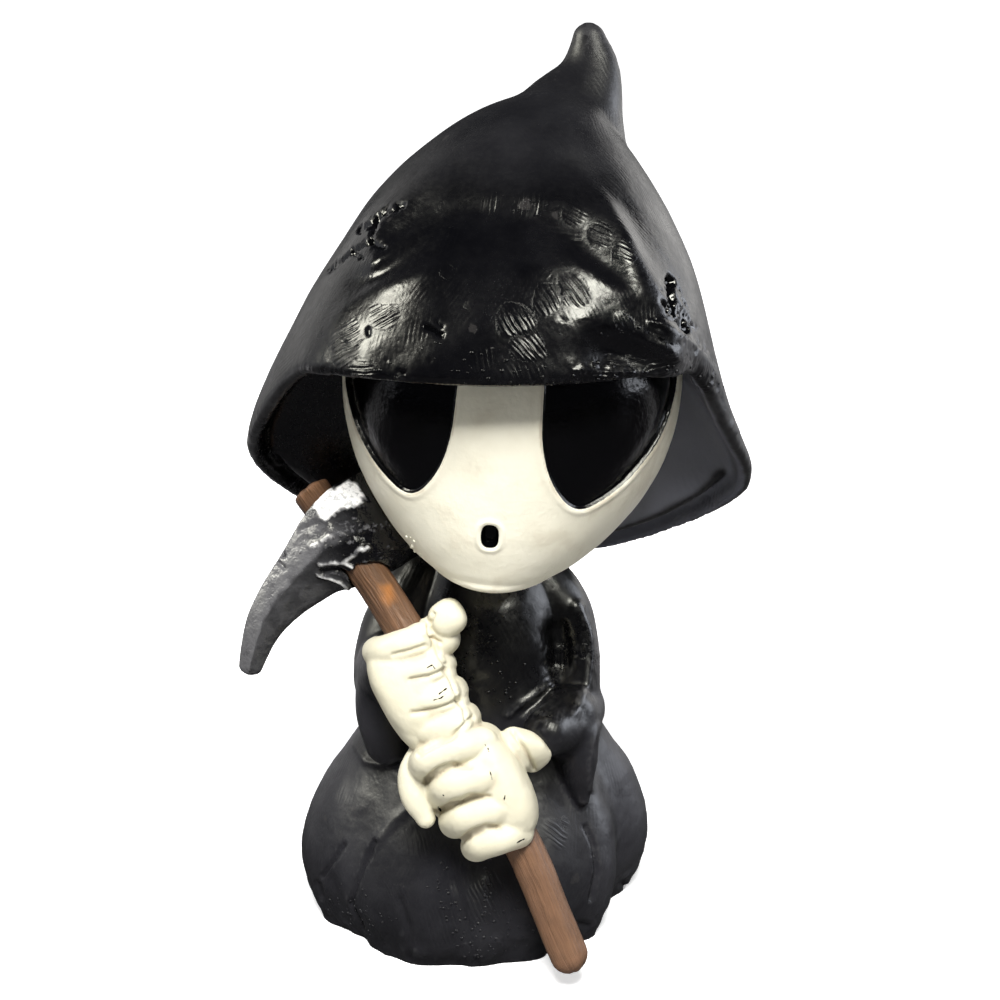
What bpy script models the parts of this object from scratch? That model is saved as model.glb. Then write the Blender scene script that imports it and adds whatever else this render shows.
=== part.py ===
"""A painted cast figurine of a small hooded reaper that grips its scythe with both fists.

Three pieces: the figure, one casting with its hood, face, robe, sleeves and fists; the whittled
handle, a slightly bowed stick that runs through both fists; and the blade, whose eye the handle
fills. Metres, +Z up. The figure stands on the ground plane, faces -Y, and the origin is the
centre of its underside. A figure's free forms are drawn at 250 units tall, and U is one unit.
"""

import math

import bmesh
import bpy
import numpy as np
from mathutils import Vector

# Driving sizes
FIGURE_HEIGHT = 0.250
HOOD_WALL = 0.0042
HANDLE_DIAMETER = 0.0112
HANDLE_OVERRUN = 0.0050
BLADE_EYE_WALL = 0.0026
BLADE_TIP_THICKNESS = 0.0050
FINGER_DIAMETER = 0.0086
FINGER_PITCH = 0.92 * FINGER_DIAMETER
EYE_SOCKET_DEPTH = 0.0012
MOUTH_WIDTH = 0.0047
MOUTH_HEIGHT = 0.0068
MOUTH_DEPTH = 0.0028
FIT_CLEARANCE = 0.0004
CHEEK_GAP = 0.0009

DRAWN_HEIGHT = 250.0
U = FIGURE_HEIGHT / DRAWN_HEIGHT

# Fineness of the faceted solids
FUSE_VOXEL = 1.5 * U
FIGURE_TRIANGLE_SHARE = 0.0485
RING_POINTS = 64
HANDLE_SIDES = 12
HANDLE_RINGS = 20
BLADE_SIDES = 16
BLADE_RINGS = 20

BLACK_PAINT = ("black_paint", (0.012, 0.012, 0.014), 0.32, 0.0)
BROWN_PAINT = ("brown_paint", (0.16, 0.075, 0.036), 0.5, 0.0)
GUNMETAL_PAINT = ("gunmetal_paint", (0.09, 0.09, 0.095), 0.25, 0.85)


# Curves

def smooth_through(knots, values, at):
    """Values on a smooth curve that passes through each knot's value."""
    knots = np.asarray(knots, float)
    values = np.asarray(values, float)
    flat = values.ndim == 1
    if flat:
        values = values[:, None]
    slopes = np.gradient(values, knots, axis=0)
    at = np.clip(np.asarray(at, float), knots[0], knots[-1])
    left = np.clip(np.searchsorted(knots, at, side="right") - 1, 0, len(knots) - 2)
    step = (knots[left + 1] - knots[left])[:, None]
    t = (at - knots[left])[:, None] / step
    found = (
        (2 * t**3 - 3 * t**2 + 1) * values[left]
        + (t**3 - 2 * t**2 + t) * step * slopes[left]
        + (3 * t**2 - 2 * t**3) * values[left + 1]
        + (t**3 - t**2) * step * slopes[left + 1]
    )
    return found[:, 0] if flat else found


def bump(x, centre, width):
    """A smooth hill of height 1 at centre that dies out over width to each side."""
    return np.exp(-(((x - centre) / width) ** 2))


def turned(angle_deg):
    """Ring angles as (sine, cosine): angle 0 faces -Y, the viewer, and 90 is +X."""
    a = np.radians(angle_deg)
    return np.sin(a), np.cos(a)


# Meshes

def skin(rings, name):
    """A closed mesh over a stack of rings of points, with a fan over each end ring."""
    mesh = bmesh.new()
    rows = [[mesh.verts.new(p) for p in ring] for ring in rings]
    count = len(rows[0])
    for low, high in zip(rows, rows[1:]):
        for i in range(count):
            j = (i + 1) % count
            mesh.faces.new((low[i], low[j], high[j], high[i]))
    for row, order in ((rows[0], -1), (rows[-1], 1)):
        middle = mesh.verts.new(sum((v.co for v in row), Vector()) / count)
        for i in range(count):
            j = (i + 1) % count
            mesh.faces.new((row[i], row[j], middle)[::order])
    bmesh.ops.recalc_face_normals(mesh, faces=mesh.faces)
    data = bpy.data.meshes.new(name)
    mesh.to_mesh(data)
    mesh.free()
    return data


def tube(path, across, thick, name, sides=16, facing=(0.0, -1.0, 0.0), round_ends=True, power=2.0):
    """A closed tube along a path. across and thick are its half sizes beside and along facing."""
    path = np.asarray(path, float)
    across = np.broadcast_to(np.asarray(across, float), (len(path),)).copy()
    thick = np.broadcast_to(np.asarray(thick, float), (len(path),)).copy()
    along = np.gradient(path, axis=0)
    along /= np.linalg.norm(along, axis=1)[:, None]
    facing = np.broadcast_to(np.asarray(facing, float), path.shape)
    side = np.cross(along, facing)
    side /= np.linalg.norm(side, axis=1)[:, None]
    front = np.cross(side, along)
    turn = np.linspace(0, 2 * math.pi, sides, endpoint=False)
    wide = np.sign(np.cos(turn)) * np.abs(np.cos(turn)) ** (2 / power)
    deep = np.sign(np.sin(turn)) * np.abs(np.sin(turn)) ** (2 / power)
    rings = []
    if round_ends:
        for lift in (0.92, 0.62, 0.3):
            shrink = math.sqrt(1 - lift**2)
            centre = path[0] - along[0] * lift * min(across[0], thick[0])
            rings.append(centre + shrink * (
                np.outer(wide, side[0]) * across[0] + np.outer(deep, front[0]) * thick[0]))
    for p, s, f, a, b in zip(path, side, front, across, thick):
        rings.append(p + np.outer(wide, s) * a + np.outer(deep, f) * b)
    if round_ends:
        for lift in (0.3, 0.62, 0.92):
            shrink = math.sqrt(1 - lift**2)
            centre = path[-1] + along[-1] * lift * min(across[-1], thick[-1])
            rings.append(centre + shrink * (
                np.outer(wide, side[-1]) * across[-1] + np.outer(deep, front[-1]) * thick[-1]))
    return skin(rings, name)


def routed(points, count):
    """count points spread evenly along a smooth curve through the given points, in units."""
    points = np.asarray(points, float) * U
    reach = np.concatenate([[0], np.cumsum(np.linalg.norm(np.diff(points, axis=0), axis=1))])
    fine = smooth_through(reach, points, np.linspace(0, reach[-1], 40 * count))
    length = np.concatenate([[0], np.cumsum(np.linalg.norm(np.diff(fine, axis=0), axis=1))])
    return np.stack([np.interp(np.linspace(0, length[-1], count), length, fine[:, k])
                     for k in range(3)], axis=1)


# Scythe handle

HANDLE_ROUTE = ((26.6, -54.5, 10.3), (22.6, -52.5, 20.0), (15.6, -49.0, 37.0), (6.4, -44.5, 55.0),
                (-4.4, -38.5, 74.0), (-14.8, -31.0, 91.0), (-25.0, -23.0, 105.5), (-42.2, -11.0, 126.5))


def handle_path(count, overrun=0.0):
    """The handle's centreline from its foot to its top, run on at both ends by overrun."""
    path = routed(HANDLE_ROUTE, count)
    if overrun:
        foot = path[0] + overrun * unit(path[0] - path[1])
        top = path[-1] + overrun * unit(path[-1] - path[-2])
        path = np.concatenate([[foot], path, [top]])
    return path


def unit(v):
    return v / np.linalg.norm(v)


def handle_frame(share):
    """A point on the centreline, the way up it, and two directions across it, front and right."""
    path = handle_path(201)
    k = share * 200
    low = int(min(max(math.floor(k), 0), 199))
    point = path[low] + (k - low) * (path[low + 1] - path[low])
    up = unit(path[min(low + 3, 200)] - path[max(low - 3, 0)])
    front = unit(np.array((0.0, -1.0, 0.0)) - up * np.dot((0.0, -1.0, 0.0), up))
    return point, up, front, np.cross(up, front)


def handle_mesh(radius, name, overrun=0.0):
    return tube(handle_path(HANDLE_RINGS, overrun), radius, radius, name, sides=HANDLE_SIDES)


# Figure: robe

ROBE_HEIGHTS = (-6, 0, 7, 15, 22, 31, 39, 46, 54, 64, 76, 88, 97, 104, 112)
ROBE_WIDTHS = (44.0, 45, 48.0, 50.2, 50.0, 47.4, 43.6, 38.8, 34.0, 29.2, 25.4, 22.2, 18.8, 15.4, 13.0)
ROBE_DEPTHS = (43.5, 45, 46.8, 47.0, 45.6, 42.0, 38.0, 34.4, 31.2, 28.2, 25.6, 23.6, 20.8, 16.5, 14.0)
ROBE_FOLDS = ((-74, 15, 1.4), (-44, 7, -1.4), (-16, 10, 1.2), (11, 8, -1.4), (38, 9, -1.6),
              (69, 12, -6.6), (101, 12, 1.2), (118, 10, -1.6), (138, 12, 2.0), (160, 9, -1.7),
              (180, 11, 2.0), (-104, 10, -1.6), (-130, 13, 2.0), (-157, 10, -1.6))
ROBE_TOP_OFFSET = (4.5, 1.0)


def robe():
    """The robe from just under the ground to inside the neck, its folds deepest near the hem."""
    angles = np.linspace(-180, 180, RING_POINTS, endpoint=False)
    sine, cosine = turned(angles)
    heights = np.linspace(ROBE_HEIGHTS[0], ROBE_HEIGHTS[-1], 36)
    widths = smooth_through(ROBE_HEIGHTS, ROBE_WIDTHS, heights)
    depths = smooth_through(ROBE_HEIGHTS, ROBE_DEPTHS, heights)
    folds = sum(lift * bump((angles - at + 180) % 360 - 180, 0, spread)
                for at, spread, lift in ROBE_FOLDS)
    scallop = 0.7 * np.sin(np.radians(angles * 9)) + 0.5 * np.sin(np.radians(angles * 16 + 40))
    rings = []
    for z, wide, deep in zip(heights, widths, depths):
        strength = float(np.clip((78 - z) / 60, 0, 1))
        edge = float(np.clip((14 - z) / 14, 0, 1))
        lift = folds * strength + scallop * edge
        rise = np.clip(z / 100, 0, 1)
        rings.append(U * np.stack([
            ROBE_TOP_OFFSET[0] * rise + (wide + lift) * sine,
            ROBE_TOP_OFFSET[1] * rise - (deep + lift) * cosine,
            np.full_like(sine, z)], axis=1))
    return skin(rings, "robe")


# Figure: hood

HOOD_HEIGHTS = (88, 104, 118, 127, 134, 142, 152, 163, 174, 185, 196, 207, 218, 225.6, 231.2, 234)
HOOD_LEFTS = (-46, -53, -58.5, -61, -62, -61.5, -58.3, -53.2, -47.4, -41.2, -33.8, -25.8, -14.0, -3.0, 9, 18)
HOOD_RIGHTS = (62, 70, 76.6, 78.4, 77.0, 73.8, 70.0, 66.6, 63.8, 60.8, 56.6, 50.6, 43.2, 37, 31, 22)
HOOD_FRONTS = (62, 63, 64, 64.5, 65, 65.5, 65.5, 65, 63.6, 59.6, 53.6, 46.0, 35.5, 25.5, 13.0, 2)
HOOD_BACKS = (41, 44, 46.5, 48, 48.5, 49.5, 50, 50, 49.5, 48, 46.0, 43.0, 37.5, 29.0, 16.0, 2)
HOOD_LEANS = (0, 0, 0, 0, 0, 0, 0, 0, 0.5, 1.5, 3, 4.5, 6.0, 7.5, 8.5, 9.0)
RIM_ANGLES = (0, 30, 50, 60, 67, 74, 82, 92, 104, 122, 145, 180)
RIM_HEIGHTS = (175.5, 175, 172.6, 169.5, 162.5, 151, 141.5, 131.5, 122.5, 110.5, 99, 92)
RIM_SAG = 3.6
RIM_SAG_FROM = (62, 96)
HOOD_SQUARENESS = 2.35
INNER_TOP = 190.0
INNER_TOP_SHARE = 0.25
BACK_WALL = 6.0
BACK_WALL_BLEND = 0.15
HORN_ROUTE = ((15, 6, 198), (21, 13.5, 213), (28.0, 21.0, 226), (32.4, 25.5, 238), (32.0, 26.5, 246.0))
HORN_WIDTHS = (34, 27.0, 18.6, 11.2, 4.8)
HORN_FLATNESS = 0.9


def hood_folds(angles, z):
    """How far the thrown-back cloth of the hood bulges at these angles and heights."""
    brow = 199 - 0.0050 * angles**2 - 0.04 * angles
    crown = 216 - 0.0046 * angles**2 - 0.04 * angles
    front = bump(angles, 4, 78)
    lower = 2.6 * bump(z, brow, 4.6) - 1.8 * bump(z, brow + 8.4, 4.0)
    upper = 2.0 * bump(z, crown, 4.4) - 1.3 * bump(z, crown + 8.0, 4.2)
    brim = 1.6 * bump(z, brow - 21, 6.0)
    back = 1.2 * np.sin(np.radians(angles * 5)) * bump(np.abs(angles), 150, 55) * bump(z, 110, 45)
    return (lower + upper + brim) * front + back


def hood_point(angles, z, inset):
    """Points on the hood's outer surface, or inset by a thickness, at these angles and heights."""
    level = np.clip(z, HOOD_HEIGHTS[0], HOOD_HEIGHTS[-1])
    left = smooth_through(HOOD_HEIGHTS, HOOD_LEFTS, level)
    right = smooth_through(HOOD_HEIGHTS, HOOD_RIGHTS, level)
    front = smooth_through(HOOD_HEIGHTS, HOOD_FRONTS, level)
    back = smooth_through(HOOD_HEIGHTS, HOOD_BACKS, level)
    lean = smooth_through(HOOD_HEIGHTS, HOOD_LEANS, level)
    sine, cosine = turned(angles)
    lift = hood_folds(angles, z) if inset == 0 else -inset / U
    power = np.where(cosine > 0, HOOD_SQUARENESS, 2.0)
    reach = (np.abs(sine) ** power + np.abs(cosine) ** power) ** (-1 / power)
    wide = np.maximum((right - left) / 2 + lift, 0.5)
    deep = np.maximum(np.where(cosine > 0, front, back) + lift, 0.5)
    return U * np.stack([(left + right) / 2 + wide * reach * sine, lean - deep * reach * cosine, z], axis=1)


def rim_height(angles):
    """The height of the hood's edge: a level brow, steep cheeks, and a hem that falls behind."""
    behind = np.clip((np.abs(angles) - RIM_SAG_FROM[0]) / (RIM_SAG_FROM[1] - RIM_SAG_FROM[0]), 0, 1)
    sag = RIM_SAG * turned(angles)[0] * behind
    return smooth_through(RIM_ANGLES, RIM_HEIGHTS, np.abs(angles)) - sag


def hood():
    """The cowl: cloth up from the rim, and a hollow round the face, which is closed behind it."""
    angles = np.linspace(-180, 180, RING_POINTS + 16, endpoint=False)
    rim = rim_height(angles)
    rings = []
    for share in np.linspace(1, 0, 14):
        z = rim + (INNER_TOP - rim) * share
        ring = hood_point(angles, z, HOOD_WALL)
        middle = np.array((ring[:, 0].mean(), 0.0, 0.0))
        narrow = INNER_TOP_SHARE + (1 - INNER_TOP_SHARE) * (1 - share**3)
        x = middle[0] + (ring[:, 0] - middle[0]) * narrow
        y = ring[:, 1] * narrow
        wall = U * (BACK_WALL + max(0.0, 1 - share / BACK_WALL_BLEND) * HOOD_BACKS[0])
        rings.append(np.stack([x, np.minimum(y, wall), ring[:, 2]], axis=1))
    inner, outer = hood_point(angles, rim, HOOD_WALL), hood_point(angles, rim, 0)
    for turn in (35, 90, 145):
        s, c = turned(turn)
        ring = (inner + outer) / 2 + (outer - inner) / 2 * -c
        rings.append(ring - np.array((0, 0, 0.5 * HOOD_WALL * s)))
    for share in np.linspace(0, 1, 36):
        z = rim + (HOOD_HEIGHTS[-1] - rim) * share
        rings.append(hood_point(angles, z, 0))
    return skin(rings, "hood")


def horn():
    """The cloth tip, which stands up behind the crown and leans to the figure's left."""
    path = routed(HORN_ROUTE, 14)
    radii = U * smooth_through(np.linspace(0, 1, len(HORN_WIDTHS)), HORN_WIDTHS, np.linspace(0, 1, 14))
    return tube(path, radii, radii * HORN_FLATNESS, "horn", sides=28, facing=(-0.3, -1, 0))


# Figure: head

HEAD_HEIGHTS = (109.0, 110.5, 114, 119, 126, 135, 146, 158, 170, 180, 188, 194)
HEAD_WIDTHS = (4, 11.5, 20.3, 28.0, 35.0, 41.0, 44.8, 46.0, 44.6, 40.0, 31.0, 12.0)
HEAD_FRONTS = (6, 15.5, 24.0, 32.0, 39.5, 45.0, 47.8, 48.4, 46.2, 42.0, 34.0, 16.0)
HEAD_BACKS = (6, 14, 20, 26, 31, 35, 37, 38, 37, 34, 28, 12)
HEAD_CENTRE = (10.8, -2.0, 150.0)
HEAD_SETBACK = (-27, -23.0, -17.0, -11.0, -5.5, -1.5, 0, 0, 0, 0, 0, 0)
HEAD_TURN = -5.0
HEAD_ROLL = 4.0
EYE_SIDES = (-1, 1)
EYE_OUTLINE = ((14.5, 184), (14.0, 170), (14.5, 157), (18.0, 147), (25.0, 139.5), (33.0, 136.5),
               (42.0, 138.5), (53.0, 144.0), (65.0, 152.5), (76.0, 164), (80.0, 176), (74.0, 186),
               (44.0, 189.5))
EYE_MIDDLE = (46.0, 165.0)
MOUTH_LEVEL = 129.0
SOCKET_MARGIN = 0.005


def head_point(angles, z, lift=0.0):
    """Points on the head at these angles from its own front, moved out by lift in metres."""
    wide = smooth_through(HEAD_HEIGHTS, HEAD_WIDTHS, z)
    front = smooth_through(HEAD_HEIGHTS, HEAD_FRONTS, z)
    back = smooth_through(HEAD_HEIGHTS, HEAD_BACKS, z)
    shift = smooth_through(HEAD_HEIGHTS, HEAD_SETBACK, z)
    sine, cosine = turned(angles)
    deep = np.where(cosine > 0, front, back)
    x = (U * wide + lift) * sine
    y = U * shift - (U * deep + lift) * cosine
    up = U * (z - HEAD_CENTRE[2])
    s, c = turned(HEAD_TURN)
    x, y = x * c - y * s, x * s + y * c
    s, c = turned(HEAD_ROLL)
    x, up = x * c + up * s, up * c - x * s
    return np.stack([U * HEAD_CENTRE[0] + x, U * HEAD_CENTRE[1] + y, U * HEAD_CENTRE[2] + up], axis=1)


def head(lift=0.0):
    """The smooth skull-like face: broad above, running down to a small round chin."""
    angles = np.linspace(-180, 180, RING_POINTS, endpoint=False)
    heights = np.linspace(HEAD_HEIGHTS[0], HEAD_HEIGHTS[-1], 36)
    rings = [head_point(angles, np.full_like(angles, z), lift) for z in heights]
    return skin(rings, "head")


def eye_outline(count):
    """The closed outline of an eye as angles and heights on the head."""
    corners = np.array(EYE_OUTLINE + EYE_OUTLINE[:1], float)
    knots = np.arange(len(corners))
    return smooth_through(knots, corners, np.linspace(0, knots[-1], count, endpoint=False))


def eye_socket(side):
    """A curved plate that sinks one eye EYE_SOCKET_DEPTH below the face."""
    outline = eye_outline(44)
    middle = np.array(EYE_MIDDLE)
    rings = []
    for reach, lift in ((0.02, SOCKET_MARGIN), (0.5, SOCKET_MARGIN), (1.05, SOCKET_MARGIN),
                        (1.05, EYE_SOCKET_DEPTH), (0.95, -EYE_SOCKET_DEPTH), (0.8, -EYE_SOCKET_DEPTH),
                        (0.6, -EYE_SOCKET_DEPTH), (0.4, -EYE_SOCKET_DEPTH), (0.2, -EYE_SOCKET_DEPTH),
                        (0.02, -EYE_SOCKET_DEPTH)):
        angle, z = (middle + (outline - middle) * reach).T
        rings.append(head_point(side * angle, z, lift))
    return skin(rings, "eye_socket")


def mouth_hole():
    """A rounded upright plug that sinks the small mouth into the face."""
    at = head_point(np.array([0.0]), np.array([MOUTH_LEVEL]))[0]
    route = [at + np.array((0, -6 * U, 0)), at + np.array((0, MOUTH_DEPTH, 0))]
    return tube(route, MOUTH_WIDTH / 2, MOUTH_HEIGHT / 2, "mouth_hole", sides=16,
                facing=(0, 0, 1), round_ends=False, power=2.6)


# Figure: sleeves and fists

def cloth_tube(points, across, thick, name, facing=(0, -1, 0), power=2.0):
    count = 5 * len(points)
    share = np.linspace(0, 1, count)
    knots = np.linspace(0, 1, len(across))
    return tube(routed(points, count), U * smooth_through(knots, across, share),
                U * smooth_through(knots, thick, share), name, sides=24, facing=facing, power=power)


def sleeves():
    """Upper arms, forearms in wide cuffs, and the tips that hang from the cuffs."""
    return [
        cloth_tube(((-13, 2, 98), (-19.5, -3, 87), (-22.5, -10, 75), (-22, -16, 66)),
                   (9.5, 10.5, 11.0, 9.5), (10, 11, 11, 8), "right_upper_arm"),
        cloth_tube(((-22, -14, 77), (-20.5, -22, 80), (-18, -28, 84)),
                   (10.5, 10.0, 8.5), (11.5, 10.5, 9.0), "right_forearm", facing=(0, -0.3, 1)),
        cloth_tube(((-24.5, -16, 74), (-24.5, -20, 64), (-23.5, -22, 57)),
                   (7.6, 7.6, 6.0), (9.0, 8.0, 5.0), "right_cuff_tip"),
        cloth_tube(((17, 2, 101), (25.0, 0, 91), (28.8, -4, 76), (28.6, -9, 63)),
                   (7.6, 8.0, 7.6, 7.6), (9.5, 9.5, 9.5, 10.0), "left_upper_arm"),
        cloth_tube(((29.4, -8, 62), (27.0, -20, 63), (20.5, -32, 66)),
                   (8.6, 8.4, 6.8), (9.0, 8.6, 7.0), "left_forearm", facing=(0.2, -0.2, 1)),
        cloth_tube(((26.5, -19, 65), (29.0, -23, 55), (31.2, -27.0, 43)),
                   (10.0, 7.6, 2.2), (8.5, 6.0, 2.2), "left_cuff_tip", facing=(-0.8, -0.5, 0)),
    ]


UPPER_FIST_HEIGHT = 83.6
LOWER_FIST_HEIGHT = 55.6
FIST_SHIFT = 1.2
FINGERS = 4
FINGER_BEND = 0.62


def fist_shares(height):
    """The shares of the handle's length at which a fist's fingers lie, from the top one down."""
    path = handle_path(201)
    length = np.linalg.norm(np.diff(path, axis=0), axis=1).sum()
    middle = np.interp(height * U, path[:, 2], np.linspace(0, 1, 201))
    return [middle + ((FINGERS - 1) / 2 - i) * FINGER_PITCH / length for i in range(FINGERS)]


def finger(share, start, end, drop, shift, name):
    """A finger laid round the handle at a share of its length, from one angle to another.

    Angles go round the handle: 0 is its front and 90 the figure's left side, the viewer's right.
    drop slides the finger down the handle on its way round, and shift moves it all sideways.
    """
    point, up, front, right = handle_frame(share)
    point = point + shift * U * right
    radius = FINGER_DIAMETER / 2
    reach = HANDLE_DIAMETER / 2 + radius * FINGER_BEND
    turns = np.radians(np.linspace(start, end, 14))
    slide = np.linspace(0.5, -0.5, 14) * drop * U
    path = (point + np.outer(np.cos(turns) * reach, front)
            + np.outer(np.sin(turns) * reach, right) + np.outer(slide, up))
    return tube(path, radius, radius, name, sides=12, facing=up)


def lump(centre, half_sizes, axes, name):
    """A rounded block, such as the back of a hand, with its half sizes along the given axes."""
    right, front, up = axes
    wide, deep, tall = (U * h for h in half_sizes)
    levels = np.linspace(-0.5 * math.pi, 0.5 * math.pi, 11)[1:-1]
    turns = np.linspace(0, 2 * math.pi, 20, endpoint=False)
    power = 0.8
    rings = []
    for level in levels:
        shrink = math.cos(level) ** power
        rise = math.copysign(abs(math.sin(level)) ** power, level)
        wide_at = np.sign(np.cos(turns)) * np.abs(np.cos(turns)) ** power * shrink * wide
        deep_at = np.sign(np.sin(turns)) * np.abs(np.sin(turns)) ** power * shrink * deep
        rings.append(centre + rise * tall * up + np.outer(wide_at, right) + np.outer(deep_at, front))
    return skin(rings, name)


def beside(share, sideways, forward, upward, half_sizes, name):
    """A rounded block placed from the handle's own line, in units, along the handle's own axes."""
    point, up, front, right = handle_frame(share)
    centre = point + U * (sideways * right + forward * front + upward * up)
    return lump(centre, half_sizes, (right, front, up), name)


def fists():
    """The right fist above, its fingers closing to the viewer's right, and the left one below."""
    upper, lower = fist_shares(UPPER_FIST_HEIGHT), fist_shares(LOWER_FIST_HEIGHT)
    over, under = sum(upper) / FINGERS, sum(lower) / FINGERS
    made = [finger(share, -118, 88, 4.8, -FIST_SHIFT, f"right_finger_{i}")
            for i, share in enumerate(upper)]
    made += [finger(share, 70, -104, -4.4, -FIST_SHIFT, f"left_finger_{i}")
             for i, share in enumerate(lower)]
    made.append(beside(over, -7.5, -3.5, 0.5, (6.8, 8.5, 15.5), "right_hand_back"))
    made.append(beside(over, 0, 0, 0, (9.0, 9.4, 14.0), "right_palm"))
    made.append(beside(under, -1, 0, 0, (9.0, 9.4, 14.0), "left_palm"))
    made.append(beside(under, 6.8, 4.2, 1.5, (8.4, 8.2, 16.5), "left_hand_back"))
    made.append(beside(upper[0], 11.0, 3.5, 0.4, (5.6, 5.6, 5.8), "right_thumb"))
    made.append(beside(upper[0], 7.0, 1.0, -3.0, (5.6, 5.6, 6.0), "right_thumb_root"))
    thumb = ((-10.0, -40, 67), (-15.2, -44, 62), (-15.4, -47, 55.5), (-12.4, -49, 48.8))
    made.append(cloth_tube(thumb, (3.8, 3.7, 3.5, 3.0), (3.8, 3.7, 3.5, 3.0), "left_thumb"))
    made.append(cloth_tube(((14, -41.5, 66.5), (22, -33, 65)), (4.2, 5.0), (4.2, 5.0), "left_wrist"))
    made.append(cloth_tube(((-15, -30, 85), (-19, -26, 83)), (6.5, 7.5), (7.5, 8.5), "right_wrist"))
    return made


# Assembly

def material(spec):
    name, colour, roughness, metallic = spec
    made = bpy.data.materials.get(name) or bpy.data.materials.new(name)
    made.use_nodes = True
    shader = made.node_tree.nodes["Principled BSDF"]
    shader.inputs["Base Color"].default_value = (*colour, 1)
    shader.inputs["Roughness"].default_value = roughness
    shader.inputs["Metallic"].default_value = metallic
    return made


def placed(data, name, paint=None):
    made = bpy.data.objects.new(name, data)
    bpy.context.scene.collection.objects.link(made)
    if paint:
        data.materials.append(material(paint))
    data.shade_smooth()
    return made


def cutter(data, name):
    """A helper that only cuts: drawn as wires and left out of every render."""
    made = placed(data, name)
    made.hide_render = True
    made.display_type = "WIRE"
    return made


def joined(datas, name):
    """One mesh that holds several closed forms, which overlap where they touch."""
    mesh = bmesh.new()
    for data in datas:
        mesh.from_mesh(data)
    whole = bpy.data.meshes.new(name)
    mesh.to_mesh(whole)
    mesh.free()
    return whole


def cut(target, tool):
    step = target.modifiers.new("Cut " + tool.name, "BOOLEAN")
    step.operation = "DIFFERENCE"
    step.solver = "EXACT"
    step.object = tool


def ground_block():
    """Everything under the ground plane, which leaves the robe's underside flat."""
    half, depth = 0.4 * FIGURE_HEIGHT, 0.1 * FIGURE_HEIGHT
    rings = [[(x, y, z) for x, y in ((-half, -half), (half, -half), (half, half), (-half, half))]
             for z in (-depth, 0.0)]
    return skin(rings, "ground_block")


def build_figure():
    """The casting: its forms fused into one skin, then thinned, sunk, bored and cut off flat."""
    forms = [robe(), hood(), horn(), head(), *sleeves(), *fists()]
    figure = placed(joined(forms, "reaper_figure"), "reaper_figure", BLACK_PAINT)
    fuse = figure.modifiers.new("Fuse the forms", "REMESH")
    fuse.mode = "VOXEL"
    fuse.voxel_size = FUSE_VOXEL
    ease = figure.modifiers.new("Ease the creases", "SMOOTH")
    ease.factor = 0.5
    ease.iterations = 3
    thin = figure.modifiers.new("Fewer faces", "DECIMATE")
    thin.ratio = FIGURE_TRIANGLE_SHARE
    for side in EYE_SIDES:
        cut(figure, cutter(eye_socket(side), f"socket_{side}"))
    cut(figure, cutter(mouth_hole(), "mouth_hole"))
    bore = HANDLE_DIAMETER / 2 + FIT_CLEARANCE
    cut(figure, cutter(handle_mesh(bore, "grip_bore", FIT_CLEARANCE), "grip_bore"))
    cut(figure, cutter(ground_block(), "ground_block"))
    return figure


BLADE_ROUTE = ((-17, -9, 124.0), (-23.5, -12.5, 122.4), (-31.2, -16.4, 118.8), (-39.7, -18.5, 112.4),
               (-46.0, -20, 106.6), (-51.7, -21.5, 100.7), (-56.2, -23, 94.3), (-59.4, -24.5, 86),
               (-60.4, -25, 82.6))
BLADE_WIDTHS = (27, 28, 28.5, 25, 19.4, 15.4, 12.2, 9.2, 6.6)


def build_blade():
    """A thick claw with a ridge down its face, pierced by the handle and laid to the cheek."""
    path = routed(BLADE_ROUTE, BLADE_RINGS)
    share = np.linspace(0, 1, BLADE_RINGS)
    width = U * smooth_through(np.linspace(0, 1, len(BLADE_WIDTHS)), BLADE_WIDTHS, share) / 2
    eye = HANDLE_DIAMETER / 2 + FIT_CLEARANCE + BLADE_EYE_WALL
    half = np.interp(share, (0, 0.3, 0.55, 1), (eye * 0.92, eye, eye * 0.6, BLADE_TIP_THICKNESS / 2))
    blade = placed(tube(path, width, half, "scythe_blade", sides=BLADE_SIDES, power=1.7),
                   "scythe_blade", GUNMETAL_PAINT)
    bore = HANDLE_DIAMETER / 2 + FIT_CLEARANCE
    eye_bore = handle_mesh(bore, "eye_bore", HANDLE_OVERRUN + FIT_CLEARANCE)
    cut(blade, cutter(eye_bore, "eye_bore"))
    cut(blade, cutter(head(CHEEK_GAP), "cheek"))
    return blade


def build_handle():
    return placed(handle_mesh(HANDLE_DIAMETER / 2, "scythe_handle"), "scythe_handle", BROWN_PAINT)


for old in list(bpy.data.objects):
    bpy.data.objects.remove(old)
build_figure()
build_handle()
build_blade()
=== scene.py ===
# %% [markdown]
# # A painted reaper figurine, dressed over its solids
# The object is one small casting, brushed black, with a bone-white mask and two bone-white fists
# that hold a real stick with a cast blade on it. The solids give every main form. This lesson
# lays the finish over them: finer skins with the same forms, the tool marks, and the paints.
# Lengths are in millimetres while we work out a shape, and become metres when a mesh is made.

# %% Load the solids
import math

import bmesh
import bpy
import numpy as np
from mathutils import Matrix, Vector
from mathutils.bvhtree import BVHTree


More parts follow.
